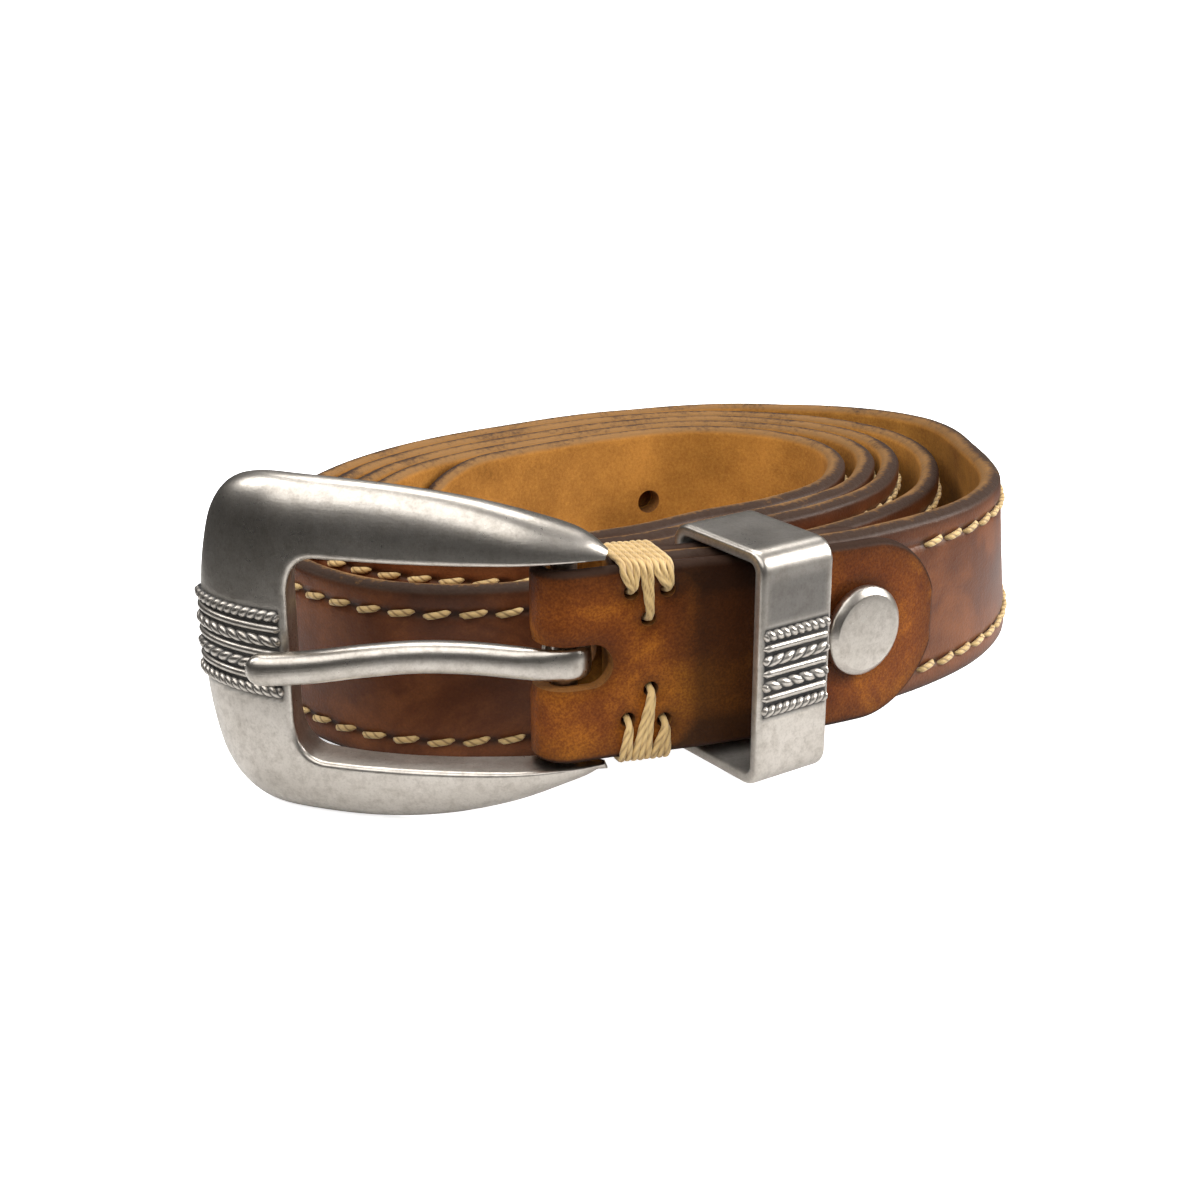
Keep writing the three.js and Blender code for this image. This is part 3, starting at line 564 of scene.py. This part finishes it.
# One stitch, arrayed flat into a row for each edge of the strap, and then sewn on along the coil.
reach = np.linspace(-1, 1, 7)[:, None]
turn = np.arange(8) * math.pi / 4
thick = STITCH_RADIUS * np.sqrt(1 - 0.8 * reach ** 6) + 0 * turn
lift = 0.02 + 0.12 * (1 - reach ** 2) - 0.30 * reach ** 6
flat = np.stack([
    STITCH_HALF * reach + 0 * turn, thick * np.cos(turn), lift + 0.85 * thick * np.sin(turn),
], -1)
rows = []
for row, edge in enumerate((1, -1)):
    stitch = laid_grid(f"stitches_{row}", flat * MM, crease=80)
    each = len(stitch.data.vertices)
    line = stitch.modifiers.new("line", "ARRAY")
    line.count = stitch_count
    line.use_relative_offset = False
    line.use_constant_offset = True
    line.constant_offset_displace = (STITCH_STEP * MM, 0, 0)
    bpy.ops.object.modifier_apply(modifier="line")
    spots = points_of(stitch)
    which = np.arange(len(spots)) // each
    chance = np.random.default_rng(42 + row)
    middle = STITCH_FIRST + STITCH_STEP * which
    from_end = STRAP_LENGTH - middle
    bend = [edge * STITCH_LINE * round_end(from_end + d, TAIL_ROUND - 2.4, 0.02) for d in (-0.4, 0, 0.4)]
    slant = STITCH_SLANT + np.arctan((bend[0] - bend[2]) / 0.8)
    slant += np.radians(chance.normal(0, 1.6, stitch_count))[which]
    ahead = spots[:, 0] - STITCH_STEP * which
    along = middle + ahead * np.cos(slant) - spots[:, 1] * np.sin(slant)
    across = bend[1] + ahead * np.sin(slant) + spots[:, 1] * np.cos(slant)
    across += chance.normal(0, 0.05, stitch_count)[which]
    out = STRAP_THICK / 2 + spots[:, 2]
    move_points(stitch, wound(along, across, out))
    rows.append(stitch)
sewn = joined("strap_stitches", rows)
bpy.ops.object.mode_set(mode="EDIT")
bpy.ops.mesh.select_all(action="SELECT")
bpy.ops.mesh.normals_make_consistent(inside=False)
bpy.ops.object.mode_set(mode="OBJECT")
sewn.data.materials.append(thread)
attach(sewn, "belt")

# Chape: a tab of thinner, richer leather, folded round the buckle's bar and laid on both faces of the
# strap. It has a long slot for the prong, three lashing holes along each edge, and round ends.
CHAPE_HALF = 9.8
CHAPE_THICK = 1.7
CHAPE_CORNER = 0.7
CHAPE_STEP = 0.45
CHAPE_END = 37.5
FOLD = 2.45
BEND = FOLD * math.pi / 2
BAR_TO_STRAP = 4.3
LEAF_START = BEND + BAR_TO_STRAP
SLOT_HALF = 2.3
SLOT_RAISE = 0.10
SLOT_REACH = BEND + 3.9
THREAD_HOLE = 0.78
KEEPER_SHADE_FROM = 4.0
KEEPER_SHADE_TO = 22.0
chape_reach = LEAF_START + CHAPE_END
LASHING_HOLES = [(1.45, 7.2), (3.2, 4.4), (5.1, 7.2), (1.18, -5.9), (3.5, -2.9), (4.91, -6.3)]


def folded(path, across, out):
    """Flat chape coordinates in mm, folded round the bar and laid along the strap, in metres."""
    leaf = wound(np.abs(path) - LEAF_START, across, np.sign(path) * (FOLD + out))
    angle = path / FOLD
    fold = wound(-BAR_TO_STRAP - np.cos(angle) * (FOLD + out), across, np.sin(angle) * (FOLD + out))
    return np.where((np.abs(path) < BEND)[..., None], fold, leaf)


chape_stops = list(np.linspace(0, 1, 22))
chape_ring = strip_section(CHAPE_HALF, CHAPE_THICK / 2, CHAPE_CORNER, chape_stops, 0.0)
chape_back = chape_reach - CHAPE_HALF
chape_tip = chape_reach - CHAPE_HALF * np.linspace(1, 0, 26) ** 1.8
chape_middle = np.arange(-chape_back + CHAPE_STEP, chape_back - 0.2, CHAPE_STEP)
chape_run = np.concatenate([-chape_tip[::-1], chape_middle, chape_tip])
chape_left = chape_reach - np.abs(chape_run)
chape_width = round_end(chape_left, CHAPE_HALF, 0.08) * (1 + wander(chape_run, 7, 0.003, 8))
chape_depth = round_end(chape_left, 0.7, 0.45)
chape_flat = np.stack([
    np.repeat(chape_run[:, None], len(chape_ring), 1), chape_ring[:, 0] * chape_width[:, None],
    chape_ring[:, 1] * chape_depth[:, None],
], -1)
chape = laid_grid("chape_leather_tab", chape_flat * MM)
chape.data.materials.append(leather(
    "chape_leather", dark=(0.118, 0.028, 0.006, 1), middle=(0.240, 0.068, 0.010, 1),
    light=(0.40, 0.134, 0.014, 1), speckle=0.7, suede_dark=(0.16, 0.055, 0.010, 1),
    suede_light=(0.40, 0.170, 0.030, 1), fibre=(0.05, 0.030, 0.022, 1), wear=-0.04, gloss=0.05, shine=0.12))


def flat_punch(path, across, radius):
    return round_punch((path * MM, across * MM, -3 * MM), (path * MM, across * MM, 3 * MM), radius)


slot_punch = flat_punch(0, SLOT_RAISE, SLOT_HALF)
for vertex in slot_punch.data.vertices:
    if abs(vertex.co.x) > 1e-6:
        vertex.co.x += math.copysign((SLOT_REACH - SLOT_HALF) * MM, vertex.co.x)
chape_punches = [slot_punch]
for side in (1, -1):
    chape_punches.append(flat_punch(side * (RIVET_ALONG + LEAF_START), RIVET_RAISE, RIVET_HOLE))
    for s, y in LASHING_HOLES:
        chape_punches.append(flat_punch(side * (s + LEAF_START), y, THREAD_HOLE))
cut_away(chape, chape_punches)

# What the hand and the tools leave on the leather, with painted shade: darker round slot, holes and rivet,
# partly pressed dye and partly painted shade, sunk beside them, a painted shadow of the keeper with some
# darker burnish, and nearly black along the rim.
path, across, out = points_of(chape).T
along = np.abs(path) - LEAF_START
room_left = CHAPE_HALF * round_end(chape_reach - np.abs(path), CHAPE_HALF, 0.0) - np.abs(across)
room_left = np.minimum(room_left, (chape_reach - np.abs(path)) * 1.2)
slot_gap = np.maximum(np.abs(path) - (SLOT_REACH - SLOT_HALF), 0)
slot_gap = np.hypot(slot_gap, across - SLOT_RAISE) - SLOT_HALF
# Painted shade, partly pressed dye: the leather darkens round the slot, the lashing holes and the rivet.
pressed_and_shaded = 0.55 * np.exp(-np.clip(slot_gap, 0, None) / 0.9) * (slot_gap > -0.1)
sunk = 0.18 * np.exp(-(np.clip(slot_gap, 0, None) / 0.7) ** 2)
for s, y in LASHING_HOLES:
    gap = np.hypot(along - s, across - y)
    pressed_and_shaded += 0.8 * np.exp(-(gap / 1.25) ** 2)
    sunk += 0.30 * np.exp(-(gap / 1.3) ** 2)
rivet_gap = np.hypot(along - RIVET_ALONG, across - RIVET_RAISE)
pressed_and_shaded += 0.7 * np.exp(-((rivet_gap - 4.7) / 0.9) ** 2)
sunk += 0.12 * np.exp(-((rivet_gap - 4.2) / 1.2) ** 2)
sunk *= np.clip(out, 0, None) / (CHAPE_THICK / 2)
# Painted shadow of the keeper, with some darker burnish: the leaf darkens from 4 to 22 mm along.
pressed_and_shaded += 1.15 * np.clip((along - KEEPER_SHADE_FROM) / 5.2, 0, 1) * np.clip((KEEPER_SHADE_TO - along) / 5.0, 0, 1)
narrow_rim = np.clip(1 - (room_left - 0.25) / 1.5, 0, 1) ** 1.6
wide_rim = 0.6 * np.clip(1 - room_left / 4.5, 0, 1) ** 1.5
chape_marks = {
    "rim": np.maximum(narrow_rim, wide_rim),
    "grain": np.clip(out / (CHAPE_THICK / 2) + 0.5, 0, 1),
    "pressed_and_shaded": np.clip(pressed_and_shaded, 0, 1),
}
for mark, values in chape_marks.items():
    chape.data.attributes.new(mark, "FLOAT", "POINT").data.foreach_set("value", values.astype(np.float32))
move_points(chape, folded(path, across, out - sunk))
chape.data.update()
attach(chape, "belt")
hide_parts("chape")

# Lashings: eight turns of the same waxed thread over each edge of the chape, fanned out of three holes
# and pulled tight round both leaves and the strap between them, to hold the buckle in its fold.
LASHING_FANS = [
    [(0, (0.45, 1.12, 1.79)), (1, (2.46, 3.13)), (2, (3.8, 4.47, 5.14))],
    [(3, (0.45, 1.12)), (4, (1.79, 2.44, 3.09)), (5, (3.76, 4.41, 5.06))],
]
LASHING_RADIUS = 0.345
STRAND_RINGS = 96
STRAND_SIDES = 14
TWIST = 1.55
chape_face = FOLD + CHAPE_THICK / 2


def heading(line):
    """Which way a line runs at each of its points."""
    ahead = np.gradient(line, axis=0)
    return ahead / np.linalg.norm(ahead, axis=1, keepdims=True)


def rings_round(line, deep, away, wide, side):
    """Rings of places round a line, deep along one direction and wide along the other."""
    return line[:, None] + deep[..., None] * away + wide[..., None] * side


def lashing_strand(name, hole, over, start):
    """One strand, from its front hole over the edge to the hole at the back."""
    hole_along, hole_across = hole
    edge = math.copysign(1, hole_across)
    skip = chape_face + LASHING_RADIUS - 0.05
    front = [
        (hole_along, hole_across - 0.25 * edge, skip - 1.9),
        (hole_along, hole_across + 0.05 * edge, skip - 0.75),
        (hole_along + 0.14 * (over - hole_along), hole_across + 0.6 * edge, skip + 0.02),
        (hole_along + 0.55 * (over - hole_along), 0.5 * hole_across + 4.65 * edge, skip + 0.1),
        (over, 9.25 * edge, skip - 0.02), (over, 9.92 * edge, skip - 0.42),
        (over, 10.12 * edge, skip - 1.3), (over, 10.14 * edge, 0.0),
    ]
    bends = np.array(front + [(s, y, -z) for s, y, z in reversed(front[:-1])])
    line = smooth_through(bends, np.linspace(0, len(bends) - 1, STRAND_RINGS))
    ahead = heading(line)
    across = np.cross(ahead, [1.0, 0.0, 0.0])
    across /= np.linalg.norm(across, axis=1, keepdims=True)
    beside = np.cross(ahead, across)
    turn = np.arange(STRAND_SIDES) * 2 * math.pi / STRAND_SIDES
    lobe = np.abs(np.cos(1.5 * turn[None, :] + math.pi * run_along(line)[:, None] / TWIST * edge + start))
    thick = LASHING_RADIUS * (0.80 + 0.24 * lobe ** 0.7)
    rings = rings_round(line, thick * np.cos(turn), across[:, None], thick * np.sin(turn), beside[:, None])
    no_uv = np.zeros((STRAND_RINGS, STRAND_SIDES + 1, 2))
    # Painted shade: the valleys of the twist are marked to be darkened.
    valley_shade = np.clip(1.1 - 1.6 * lobe, 0, 1)
    return laid_grid(name, wound(*np.moveaxis(rings, -1, 0)), flat_uv=no_uv, marks={"valley_shade": valley_shade},
                     crease=80)


for label, fans in zip(("upper", "lower"), LASHING_FANS):
    strands = []
    for hole, overs in fans:
        for over in overs:
            number = len(strands)
            strands.append(lashing_strand(f"strand_{number}", LASHING_HOLES[hole], over, number))
    lashing = joined(f"{label}_lashing", strands)
    lashing.data.materials.append(thread)
    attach(lashing, "belt")

# Buckle frame: one die casting in satin nickel, open at the hinge side, with a domed face that falls
# away to its outer edge, a chamfer round the window, and the hinge bar between the ends of its arms.
BAR = np.array([-8.445, -43.854, 17.4])
BAR_RADIUS = 1.3
WINDOW_DROP = 0.4
CROWN_FALL = 0.86
CHAMFER = [(0.008, 0.62), (0.03, 0.2), (0.065, 0.0)]
FACE = [0.1, 0.16, 0.23, 0.3, 0.37, 0.44, 0.51, 0.58, 0.65, 0.72, 0.79, 0.85, 0.9, 0.94, 0.965, 0.985, 1]
RELIEF_HALF = 4.95
GROUND_FROM = 26.0
FRAME_ROWS = np.array([
    [-3.9, 10.45, -4.2, 10.9, 1.0], [-2.2, 10.45, -2.5, 12.2, 2.6], [0, 10.45, 0, 13.3, 3.9],
    [5, 10.45, 5, 15.0, 4.1], [11, 10.45, 11, 16.35, 3.9], [17, 10.45, 17.6, 17.1, 3.9],
    [21.5, 10.45, 24.5, 17.3, 4.3], [24.1, 10.3, 29.3, 17.1, 4.8], [25.6, 9.2, 32.4, 15.8, 5.3],
    [26.3, 7.3, 34.4, 13.3, 5.4], [26.4, 5.0, 35.5, 10.0, 5.5], [26.4, 2.5, 36.2, 5.5, 5.5],
    [26.4, 0, 36.4, 0, 5.5],
])

# Satin nickel: a soft tumbled finish with fine speckle and a few rubbed patches, black in its grooves and
# in painted shade.
group, given, result = new_group(
    "tumbled_nickel", [("Bare", "Color", (0.62, 0.57, 0.51, 1)), ("Groove", "Float", 0.0)],
    [("Color", "Color"), ("Roughness", "Float"), ("Metallic", "Float"), ("Height", "Float")])
place = add(group, "ShaderNodeTexCoord").outputs["Object"]
grit = noise(group, place, 4200.0, 2.0, 0.6)
rub = noise(group, place, 130.0, 4.0, 0.6, 0.3)
mottle = noise(group, place, 900.0, 5.0, 0.7)
stretched = add(group, "ShaderNodeMapping", {"Scale": (160.0, 900.0, 2600.0)}, {"Vector": place})
scratch = noise(group, stretched.outputs["Vector"], 1.0, 3.0, 0.65)
tone = mix(group, scaled(group, rub, 2.4, -0.8, clamp=True),
           mix(group, 1.0, given["Bare"], (0.80, 0.79, 0.77, 1), "MULTIPLY"), given["Bare"])
tone = mix(group, scaled(group, grit, 1.6, -0.75, clamp=True), tone, (0.42, 0.38, 0.33, 1))
# The blackening input holds oxide in the grooves, and on the keeper also painted shade and a painted dark
# reflection.
black = scaled(group, rub, 0.3, 0.8)
black = scaled(group, given["Groove"], black, clamp=True)
tone = mix(group, black, tone, (0.006, 0.005, 0.005, 1))
tone = mix(group, scaled(group, mottle, 3.2, -1.45, clamp=True), tone,
           mix(group, 1.0, tone, (0.70, 0.68, 0.66, 1), "MULTIPLY"))
rough = scaled(group, grit, 0.16, 0.12)
rough = scaled(group, mottle, 0.14, rough)
rough = scaled(group, rub, 0.10, rough)
rough = scaled(group, black, 0.15, rough)
height = scaled(group, scratch, 0.5, scaled(group, grit, 0.5))
bare = scaled(group, black, -0.95, 1.0, clamp=True)
feed(group, ((result["Color"], tone), (result["Roughness"], rough), (result["Metallic"], bare),
             (result["Height"], height)))


nickel, tree, shader = new_material("satin_nickel")
# The blackening mark: oxide in the hollows of the relief, and on the keeper also painted shade and a
# painted dark reflection.
blackening = add(tree, "ShaderNodeAttribute", attribute_name="blackening").outputs["Fac"]
finish = shared(tree, "tumbled_nickel", Bare=(0.66, 0.612, 0.55, 1), Groove=blackening)
bump = add(tree, "ShaderNodeBump", {"Strength": 0.5, "Distance": 0.00003}, {"Height": finish["Height"]})
tree.links.new(finish["Color"], shader.inputs["Base Color"])
tree.links.new(finish["Roughness"], shader.inputs["Roughness"])
tree.links.new(finish["Metallic"], shader.inputs["Metallic"])
tree.links.new(bump.outputs["Normal"], shader.inputs["Normal"])


def on_buckle(u, v, w):
    """Buckle coordinates in mm: u to the left from the bar, v forwards, w up from the middle; in metres."""
    u, v, w = np.broadcast_arrays(u, v, w)
    return (np.stack([-u, -v, w], -1) + BAR) * MM


def bow(u):
    return 4.2 - (u - 6) ** 2 / (2 * np.where(u > 6, 62.0, 21.0))


def dome_fall(share):
    return 1 - np.sqrt(1 - np.minimum(share, 1) ** 2.4)


def frame_profile(inner_u, inner_w, outer_u, outer_w, depth):
    """One section of the frame: inner wall, chamfer, domed face, outer edge and flat back."""
    bevel = min(0.45, 0.2 * depth)
    wall = [(0, -depth), (0, -0.6 * depth), (0, -bevel * 1.2)] + [(s, -bevel * fall) for s, fall in CHAMFER]
    crown = [(s, -(CROWN_FALL - 0.04 * s ** 8) * depth * dome_fall(s)) for s in FACE]
    back = [(0.998, -0.9 * depth), (0.985, -0.965 * depth), (0.95, -depth), (0.6, -depth), (0.25, -depth)]
    share, v = np.array(wall + crown + back).T
    u = inner_u + (outer_u - inner_u) * share
    w = inner_w - WINDOW_DROP + (outer_w - inner_w + WINDOW_DROP) * share
    return np.stack([u, v + bow(u), w, share], -1)


upper_rows = smooth_through(FRAME_ROWS, np.linspace(0, 12, 12 * 9 + 1))
upper_places = np.array([frame_profile(*row) for row in upper_rows])
lower_rows = upper_rows[-2::-1] * np.array([1, -1, 1, -1, 1])
lower_rows[:, 3] = np.minimum(lower_rows[:, 3], lower_rows[:, 1] - 1.2)
lower_places = np.array([frame_profile(*row) for row in lower_rows])
frame_u, frame_v, frame_w, frame_share = np.moveaxis(np.concatenate([upper_places, lower_places]), -1, 0)
frame_groove = np.clip((RELIEF_HALF - np.abs(frame_w)) / 0.45, 0, 1)
frame_groove = frame_groove * np.clip((frame_share - 0.05) / 0.05, 0, 1) * (frame_u > GROUND_FROM)
frame_groove[:, 3 + len(CHAMFER) + len(FACE):] = 0
casting = laid_grid("buckle_casting", on_buckle(frame_u, frame_v, frame_w), marks={"blackening": frame_groove},
                    crease=50)
casting.data.materials.append(nickel)

bar_turn = np.arange(32) * math.pi / 16
bar_spread = np.array([-11.65, -8, 0, 8, 11.65])
bar = laid_grid("hinge_bar", on_buckle(BAR_RADIUS * np.cos(bar_turn)[None, :],
                                       BAR_RADIUS * np.sin(bar_turn)[None, :], bar_spread[:, None]))
bar.data.materials.append(nickel)
casting = joined("buckle_casting", [casting, bar])
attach(casting, "frame")
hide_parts("buckle_frame")

# Raised rows: four ropes and three smooth bands, cast in relief round the closed end of the buckle
# and again on the keeper. The ground between them and the ropes' valleys are blackened.
ROW_SPACING = 1.3
ROPE_RADIUS = 0.60
BAND_RADIUS = 0.42
SINK = {"rope": 0.12, "band": 0.08}
RELIEF_FROM = 26.4
RELIEF_REACH = 10.0
RELIEF_DEPTH = 5.5
ROW_SIDES = 30


def raised_row(line, away, kind, pitch, hand):
    """A rope or a band along a line of places in mm; away points out of the face it lies on."""
    length = run_along(line)
    turn = np.arange(ROW_SIDES) * 2 * math.pi / ROW_SIDES
    phase = turn[None, :] + hand * math.pi * length[:, None] / pitch
    lobe = np.abs(np.cos(phase)) if kind == "rope" else np.ones((len(line), ROW_SIDES))
    thick = ROPE_RADIUS * (0.72 + 0.32 * lobe ** 0.65) if kind == "rope" else BAND_RADIUS * lobe
    low = np.clip((0.70 - np.cos(turn)) / 0.35, 0, 1)[None, :]
    blackening = np.clip(np.maximum(low, 1.5 - 2.5 * lobe), 0, 1)
    end = np.minimum(length, length[-1] - length) / 0.35
    thick = thick * np.sqrt(np.clip(1 - (1 - np.clip(end, 0, 1)) ** 2, 0.05, 1))[:, None]
    places = rings_round(line, thick * np.cos(turn), away[:, None], thick * np.sin(turn), UP)
    return places, {"blackening": blackening}


def evenly(line, step):
    """The same line with its points an even step apart."""
    length = run_along(line)
    at = np.linspace(0, length[-1], int(length[-1] / step) + 1)
    return np.stack([np.interp(at, length, line[:, k]) for k in range(line.shape[1])], -1)


frame_rows = []
for row in range(7):
    kind = "rope" if row % 2 == 0 else "band"
    share = np.linspace(0.07, 1.0, 160)
    u = RELIEF_FROM + RELIEF_REACH * share
    fall = CROWN_FALL * RELIEF_DEPTH * dome_fall(share)
    line = np.stack([u, bow(u) - fall - SINK[kind], 0 * u + (3 - row) * ROW_SPACING], -1)
    line = evenly(line, 0.12 if kind == "rope" else 0.35)
    ahead = heading(line)
    away = np.stack([-ahead[:, 1], ahead[:, 0], 0 * ahead[:, 0]], -1)
    pitch, hand = {0: (0.98, 1), 2: (1.35, -1), 4: (1.4, 1), 6: (0.92, -1)}.get(row, (1, 1))
    places, marks = raised_row(line, away, kind, pitch, hand)
    places = on_buckle(*np.moveaxis(places, -1, 0))
    frame_rows.append(laid_grid(f"row_{row}", places, marks=marks, crease=60))
buckle_relief = joined("buckle_relief", frame_rows)
buckle_relief.data.materials.append(nickel)
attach(buckle_relief, "frame")

# Prong: a cast nickel tongue, bowed to follow the frame, its tip chamfered where it lies in the relief,
# and its other end bent into a hook round the hinge bar.
PRONG_HALF = 1.6
PRONG_DROP = 0.45
EYE_RADIUS = 2.13
PRONG_LINE = np.array([
    [30.2, 2.75, -0.05], [28, 3.0, 0], [24, 2.65, 0.1], [19, 1.6, 0.3], [14, 0.95, 0.45], [9, 1.0, 0.35],
    [4.5, 1.38, 0.05], [2.25, 1.9, 0],
])
hook_turn = np.radians(np.linspace(78, 338, 12))
hook = EYE_RADIUS * np.stack([np.cos(hook_turn), np.sin(hook_turn), 0 * hook_turn], -1)
prong_line = np.concatenate([PRONG_LINE, hook])
prong_depth = np.array([1.3, 1.34, 1.34, 1.34, 1.34, 1.3, 1.18, 0.85] + [0.58] + [0.52] * 11)
fine = np.linspace(0, len(prong_line) - 1, 220)
line = smooth_through(prong_line, fine)
depth = smooth_through(prong_depth, fine)
length = run_along(line)
ahead = heading(line)
away = np.stack([ahead[:, 1], -ahead[:, 0], 0 * ahead[:, 0]], -1)
tip = np.clip(length / 1.9, 0, 1)
taper = np.sqrt(np.clip(1 - (1 - tip) ** 2.4, 0.12, 1))
tail = np.sqrt(np.clip(1 - (1 - np.clip((length[-1] - length) / 0.5, 0, 1)) ** 2, 0.15, 1))
turn = np.arange(36) * 2 * math.pi / 36
square = 2 / 2.35
wide = np.sign(np.sin(turn)) * np.abs(np.sin(turn)) ** square
deep = np.sign(np.cos(turn)) * np.abs(np.cos(turn)) ** square
deep = (depth * taper * tail)[:, None] * deep
wide = (PRONG_HALF * taper * tail)[:, None] * wide
places = rings_round(line, deep, away[:, None], wide, UP)
places[..., 2] -= PRONG_DROP
prong = laid_grid("prong_hook", on_buckle(*np.moveaxis(places, -1, 0)), crease=60)
prong.data.materials.append(nickel)
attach(prong, "prong")
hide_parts("buckle_prong")

# Keeper: a loop bent from a flat nickel band, soldered shut at the back, that slides along the strap.
# Its outer edges are eased, its inside is darkened as painted shade, its upper front has a painted dark
# reflection, and it carries the same raised rows in front.
KEEPER_CENTRE = np.array([9.923, -37.905, 15.968])
KEEPER_TURN = math.radians(35)
KEEPER_HALF = np.array([12.1, 7.0])
KEEPER_WALL = 1.3
KEEPER_CORNER = 2.2
KEEPER_HALF_WIDTH = 4.45


def on_keeper(x, y, z):
    """Keeper coordinates in mm: x along the strap, y towards the coil, z up; in metres."""
    x, y, z = np.broadcast_arrays(x, y, z)
    cos, sin = math.cos(KEEPER_TURN), math.sin(KEEPER_TURN)
    return (np.stack([x * cos - y * sin, x * sin + y * cos, z], -1) + KEEPER_CENTRE) * MM


def loop_path():
    """Points (z, y) round the keeper's rounded rectangle with their outward directions."""
    points, outward = [], []
    corners = [(1, -1, -90), (1, 1, 0), (-1, 1, 90), (-1, -1, 180)]
    inner = KEEPER_HALF - KEEPER_CORNER
    for number, (sz, sy, start) in enumerate(corners):
        for angle in np.radians(start + np.linspace(0, 90, 13)):
            direction = np.array([math.cos(angle), math.sin(angle)])
            points.append(inner * (sz, sy) + KEEPER_CORNER * direction)
            outward.append(direction)
        next_z, next_y, _ = corners[(number + 1) % 4]
        here, there = points[-1], inner * (next_z, next_y) + KEEPER_CORNER * direction
        count = int(np.linalg.norm(there - here) / 0.3)
        for share in np.arange(1, count) / count:
            points.append(here + (there - here) * share)
            outward.append(direction)
    return np.array(points), np.array(outward)


loop_points, loop_out = loop_path()
ease = np.radians([0, 22, 45, 67, 90])
outer_x = KEEPER_HALF_WIDTH - 0.55 + 0.55 * np.sin(ease)
outer_in = 0.4 * (1 - np.cos(ease))
inner_x = KEEPER_HALF_WIDTH - 0.3 + 0.3 * np.cos(ease)
inner_in = KEEPER_WALL - 0.3 + 0.3 * np.sin(ease)
band_x = np.concatenate([np.linspace(-3.6, 3.6, 19), outer_x, inner_x, [2.5, 0, -2.5],
                         -inner_x[::-1], -outer_x[::-1]])
band_in = np.concatenate([np.zeros(19), outer_in, inner_in, [KEEPER_WALL] * 3,
                          inner_in[::-1], outer_in[::-1]])
loop_zy = loop_points[:, None] - band_in[None, :, None] * loop_out[:, None]
band_across = np.broadcast_to(band_x, loop_zy.shape[:2])
front = (loop_zy[..., 1] < -KEEPER_HALF[1] + 0.2) & (band_in[None, :] < 0.2)
loop_height = loop_zy[..., 0]
keeper_blackening = np.clip((RELIEF_HALF - np.abs(loop_height)) / 0.4, 0, 1)
keeper_blackening = keeper_blackening * np.clip((4.25 - np.abs(band_across)) / 0.3, 0, 1)
# Painted reflection: the keeper's upper front above the rows is darkened where it would mirror the dark
# room, fading towards the top.
keeper_painted_reflection = 0.74 * np.clip((loop_height - 4.4) / 0.8, 0, 1) * np.clip((11.4 - loop_height) / 2.5, 0, 1)
keeper_painted_reflection = keeper_painted_reflection * np.clip((4.3 - np.abs(band_across)) / 0.8, 0, 1)
keeper_blackening = np.where(front, np.maximum(keeper_blackening, keeper_painted_reflection), 0.0)
# Painted shade: the inside of the loop is darkened.
keeper_blackening = np.maximum(keeper_blackening, 0.75 * np.clip((band_in[None, :] - 0.9) / 0.3, 0, 1))
keeper = laid_grid("keeper_band", on_keeper(band_across, loop_zy[..., 1], loop_height), closed_along=True,
                   marks={"blackening": keeper_blackening}, crease=50)
keeper.data.materials.append(nickel)
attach(keeper, "keeper")
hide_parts("keeper_loop")

keeper_rows = []
for row in range(7):
    kind = "rope" if row % 2 == 0 else "band"
    x = np.linspace(-KEEPER_HALF_WIDTH + 0.3, KEEPER_HALF_WIDTH - 0.3, 70 if kind == "rope" else 20)
    line = np.stack([x, 0 * x - KEEPER_HALF[1] + SINK[kind], 0 * x + (3 - row) * ROW_SPACING], -1)
    away = np.tile([0.0, -1.0, 0.0], (len(line), 1))
    pitch, hand = {0: (0.88, 1), 2: (1.4, -1), 4: (1.4, 1), 6: (0.9, -1)}.get(row, (1, 1))
    places, marks = raised_row(line, away, kind, pitch, hand)
    places = on_keeper(*np.moveaxis(places, -1, 0))
    keeper_rows.append(laid_grid(f"row_{row}", places, marks=marks, crease=60))
keeper_relief = joined("keeper_relief", keeper_rows)
keeper_relief.data.materials.append(nickel)
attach(keeper_relief, "keeper")

# Rivet: a turned nickel cap with a bevelled flat head in front, its stem through both leaves and the
# strap, and a smaller turned base that is pressed onto the stem behind the back leaf.
RIVET_SEAT = chape_face + 0.3


def turned_piece(name, profile, body_node):
    """A profile of (radius, height along the rivet's axis) in mm, spun round the axis."""
    foot, head = wound(RIVET_ALONG, RIVET_RAISE, 0.0), wound(RIVET_ALONG, RIVET_RAISE, 1.0)
    axis = (head - foot) / np.linalg.norm(head - foot)
    beside = np.cross(UP, axis)
    beside /= np.linalg.norm(beside)
    above = np.cross(axis, beside)
    turn = np.arange(72) * 2 * math.pi / 72
    radius, height = (np.array(profile) * MM).T
    line = foot + height[:, None] * axis
    wide, deep = radius[:, None] * np.cos(turn), radius[:, None] * np.sin(turn)
    piece = laid_grid(name, rings_round(line, wide, beside, deep, above), crease=55)
    piece.data.materials.append(nickel)
    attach(piece, "belt")
    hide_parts(body_node)


crown = RIVET_SEAT + 1.4
base = -RIVET_SEAT - 0.15
turned_piece("rivet_head", [
    (0, base - 0.6), (2.0, base - 0.6), (2.0, 0), (2.0, RIVET_SEAT), (4.5, RIVET_SEAT),
    (4.66, RIVET_SEAT + 0.08), (4.7, RIVET_SEAT + 0.25), (4.7, crown - 0.62), (4.66, crown - 0.55),
    (4.55, crown - 0.44), (4.05, crown - 0.05), (3.97, crown - 0.01), (3.88, crown), (3.0, crown),
    (1.5, crown), (0, crown),
], "rivet_cap")
turned_piece("rivet_base", [
    (0, base - 1.2), (2.0, base - 1.2), (3.7, base - 1.2), (4.02, base - 1.1), (4.2, base - 0.8),
    (4.2, base - 0.1), (4.1, base), (2.3, base), (2.3, base - 0.9), (0, base - 0.9),
], "rivet_back")
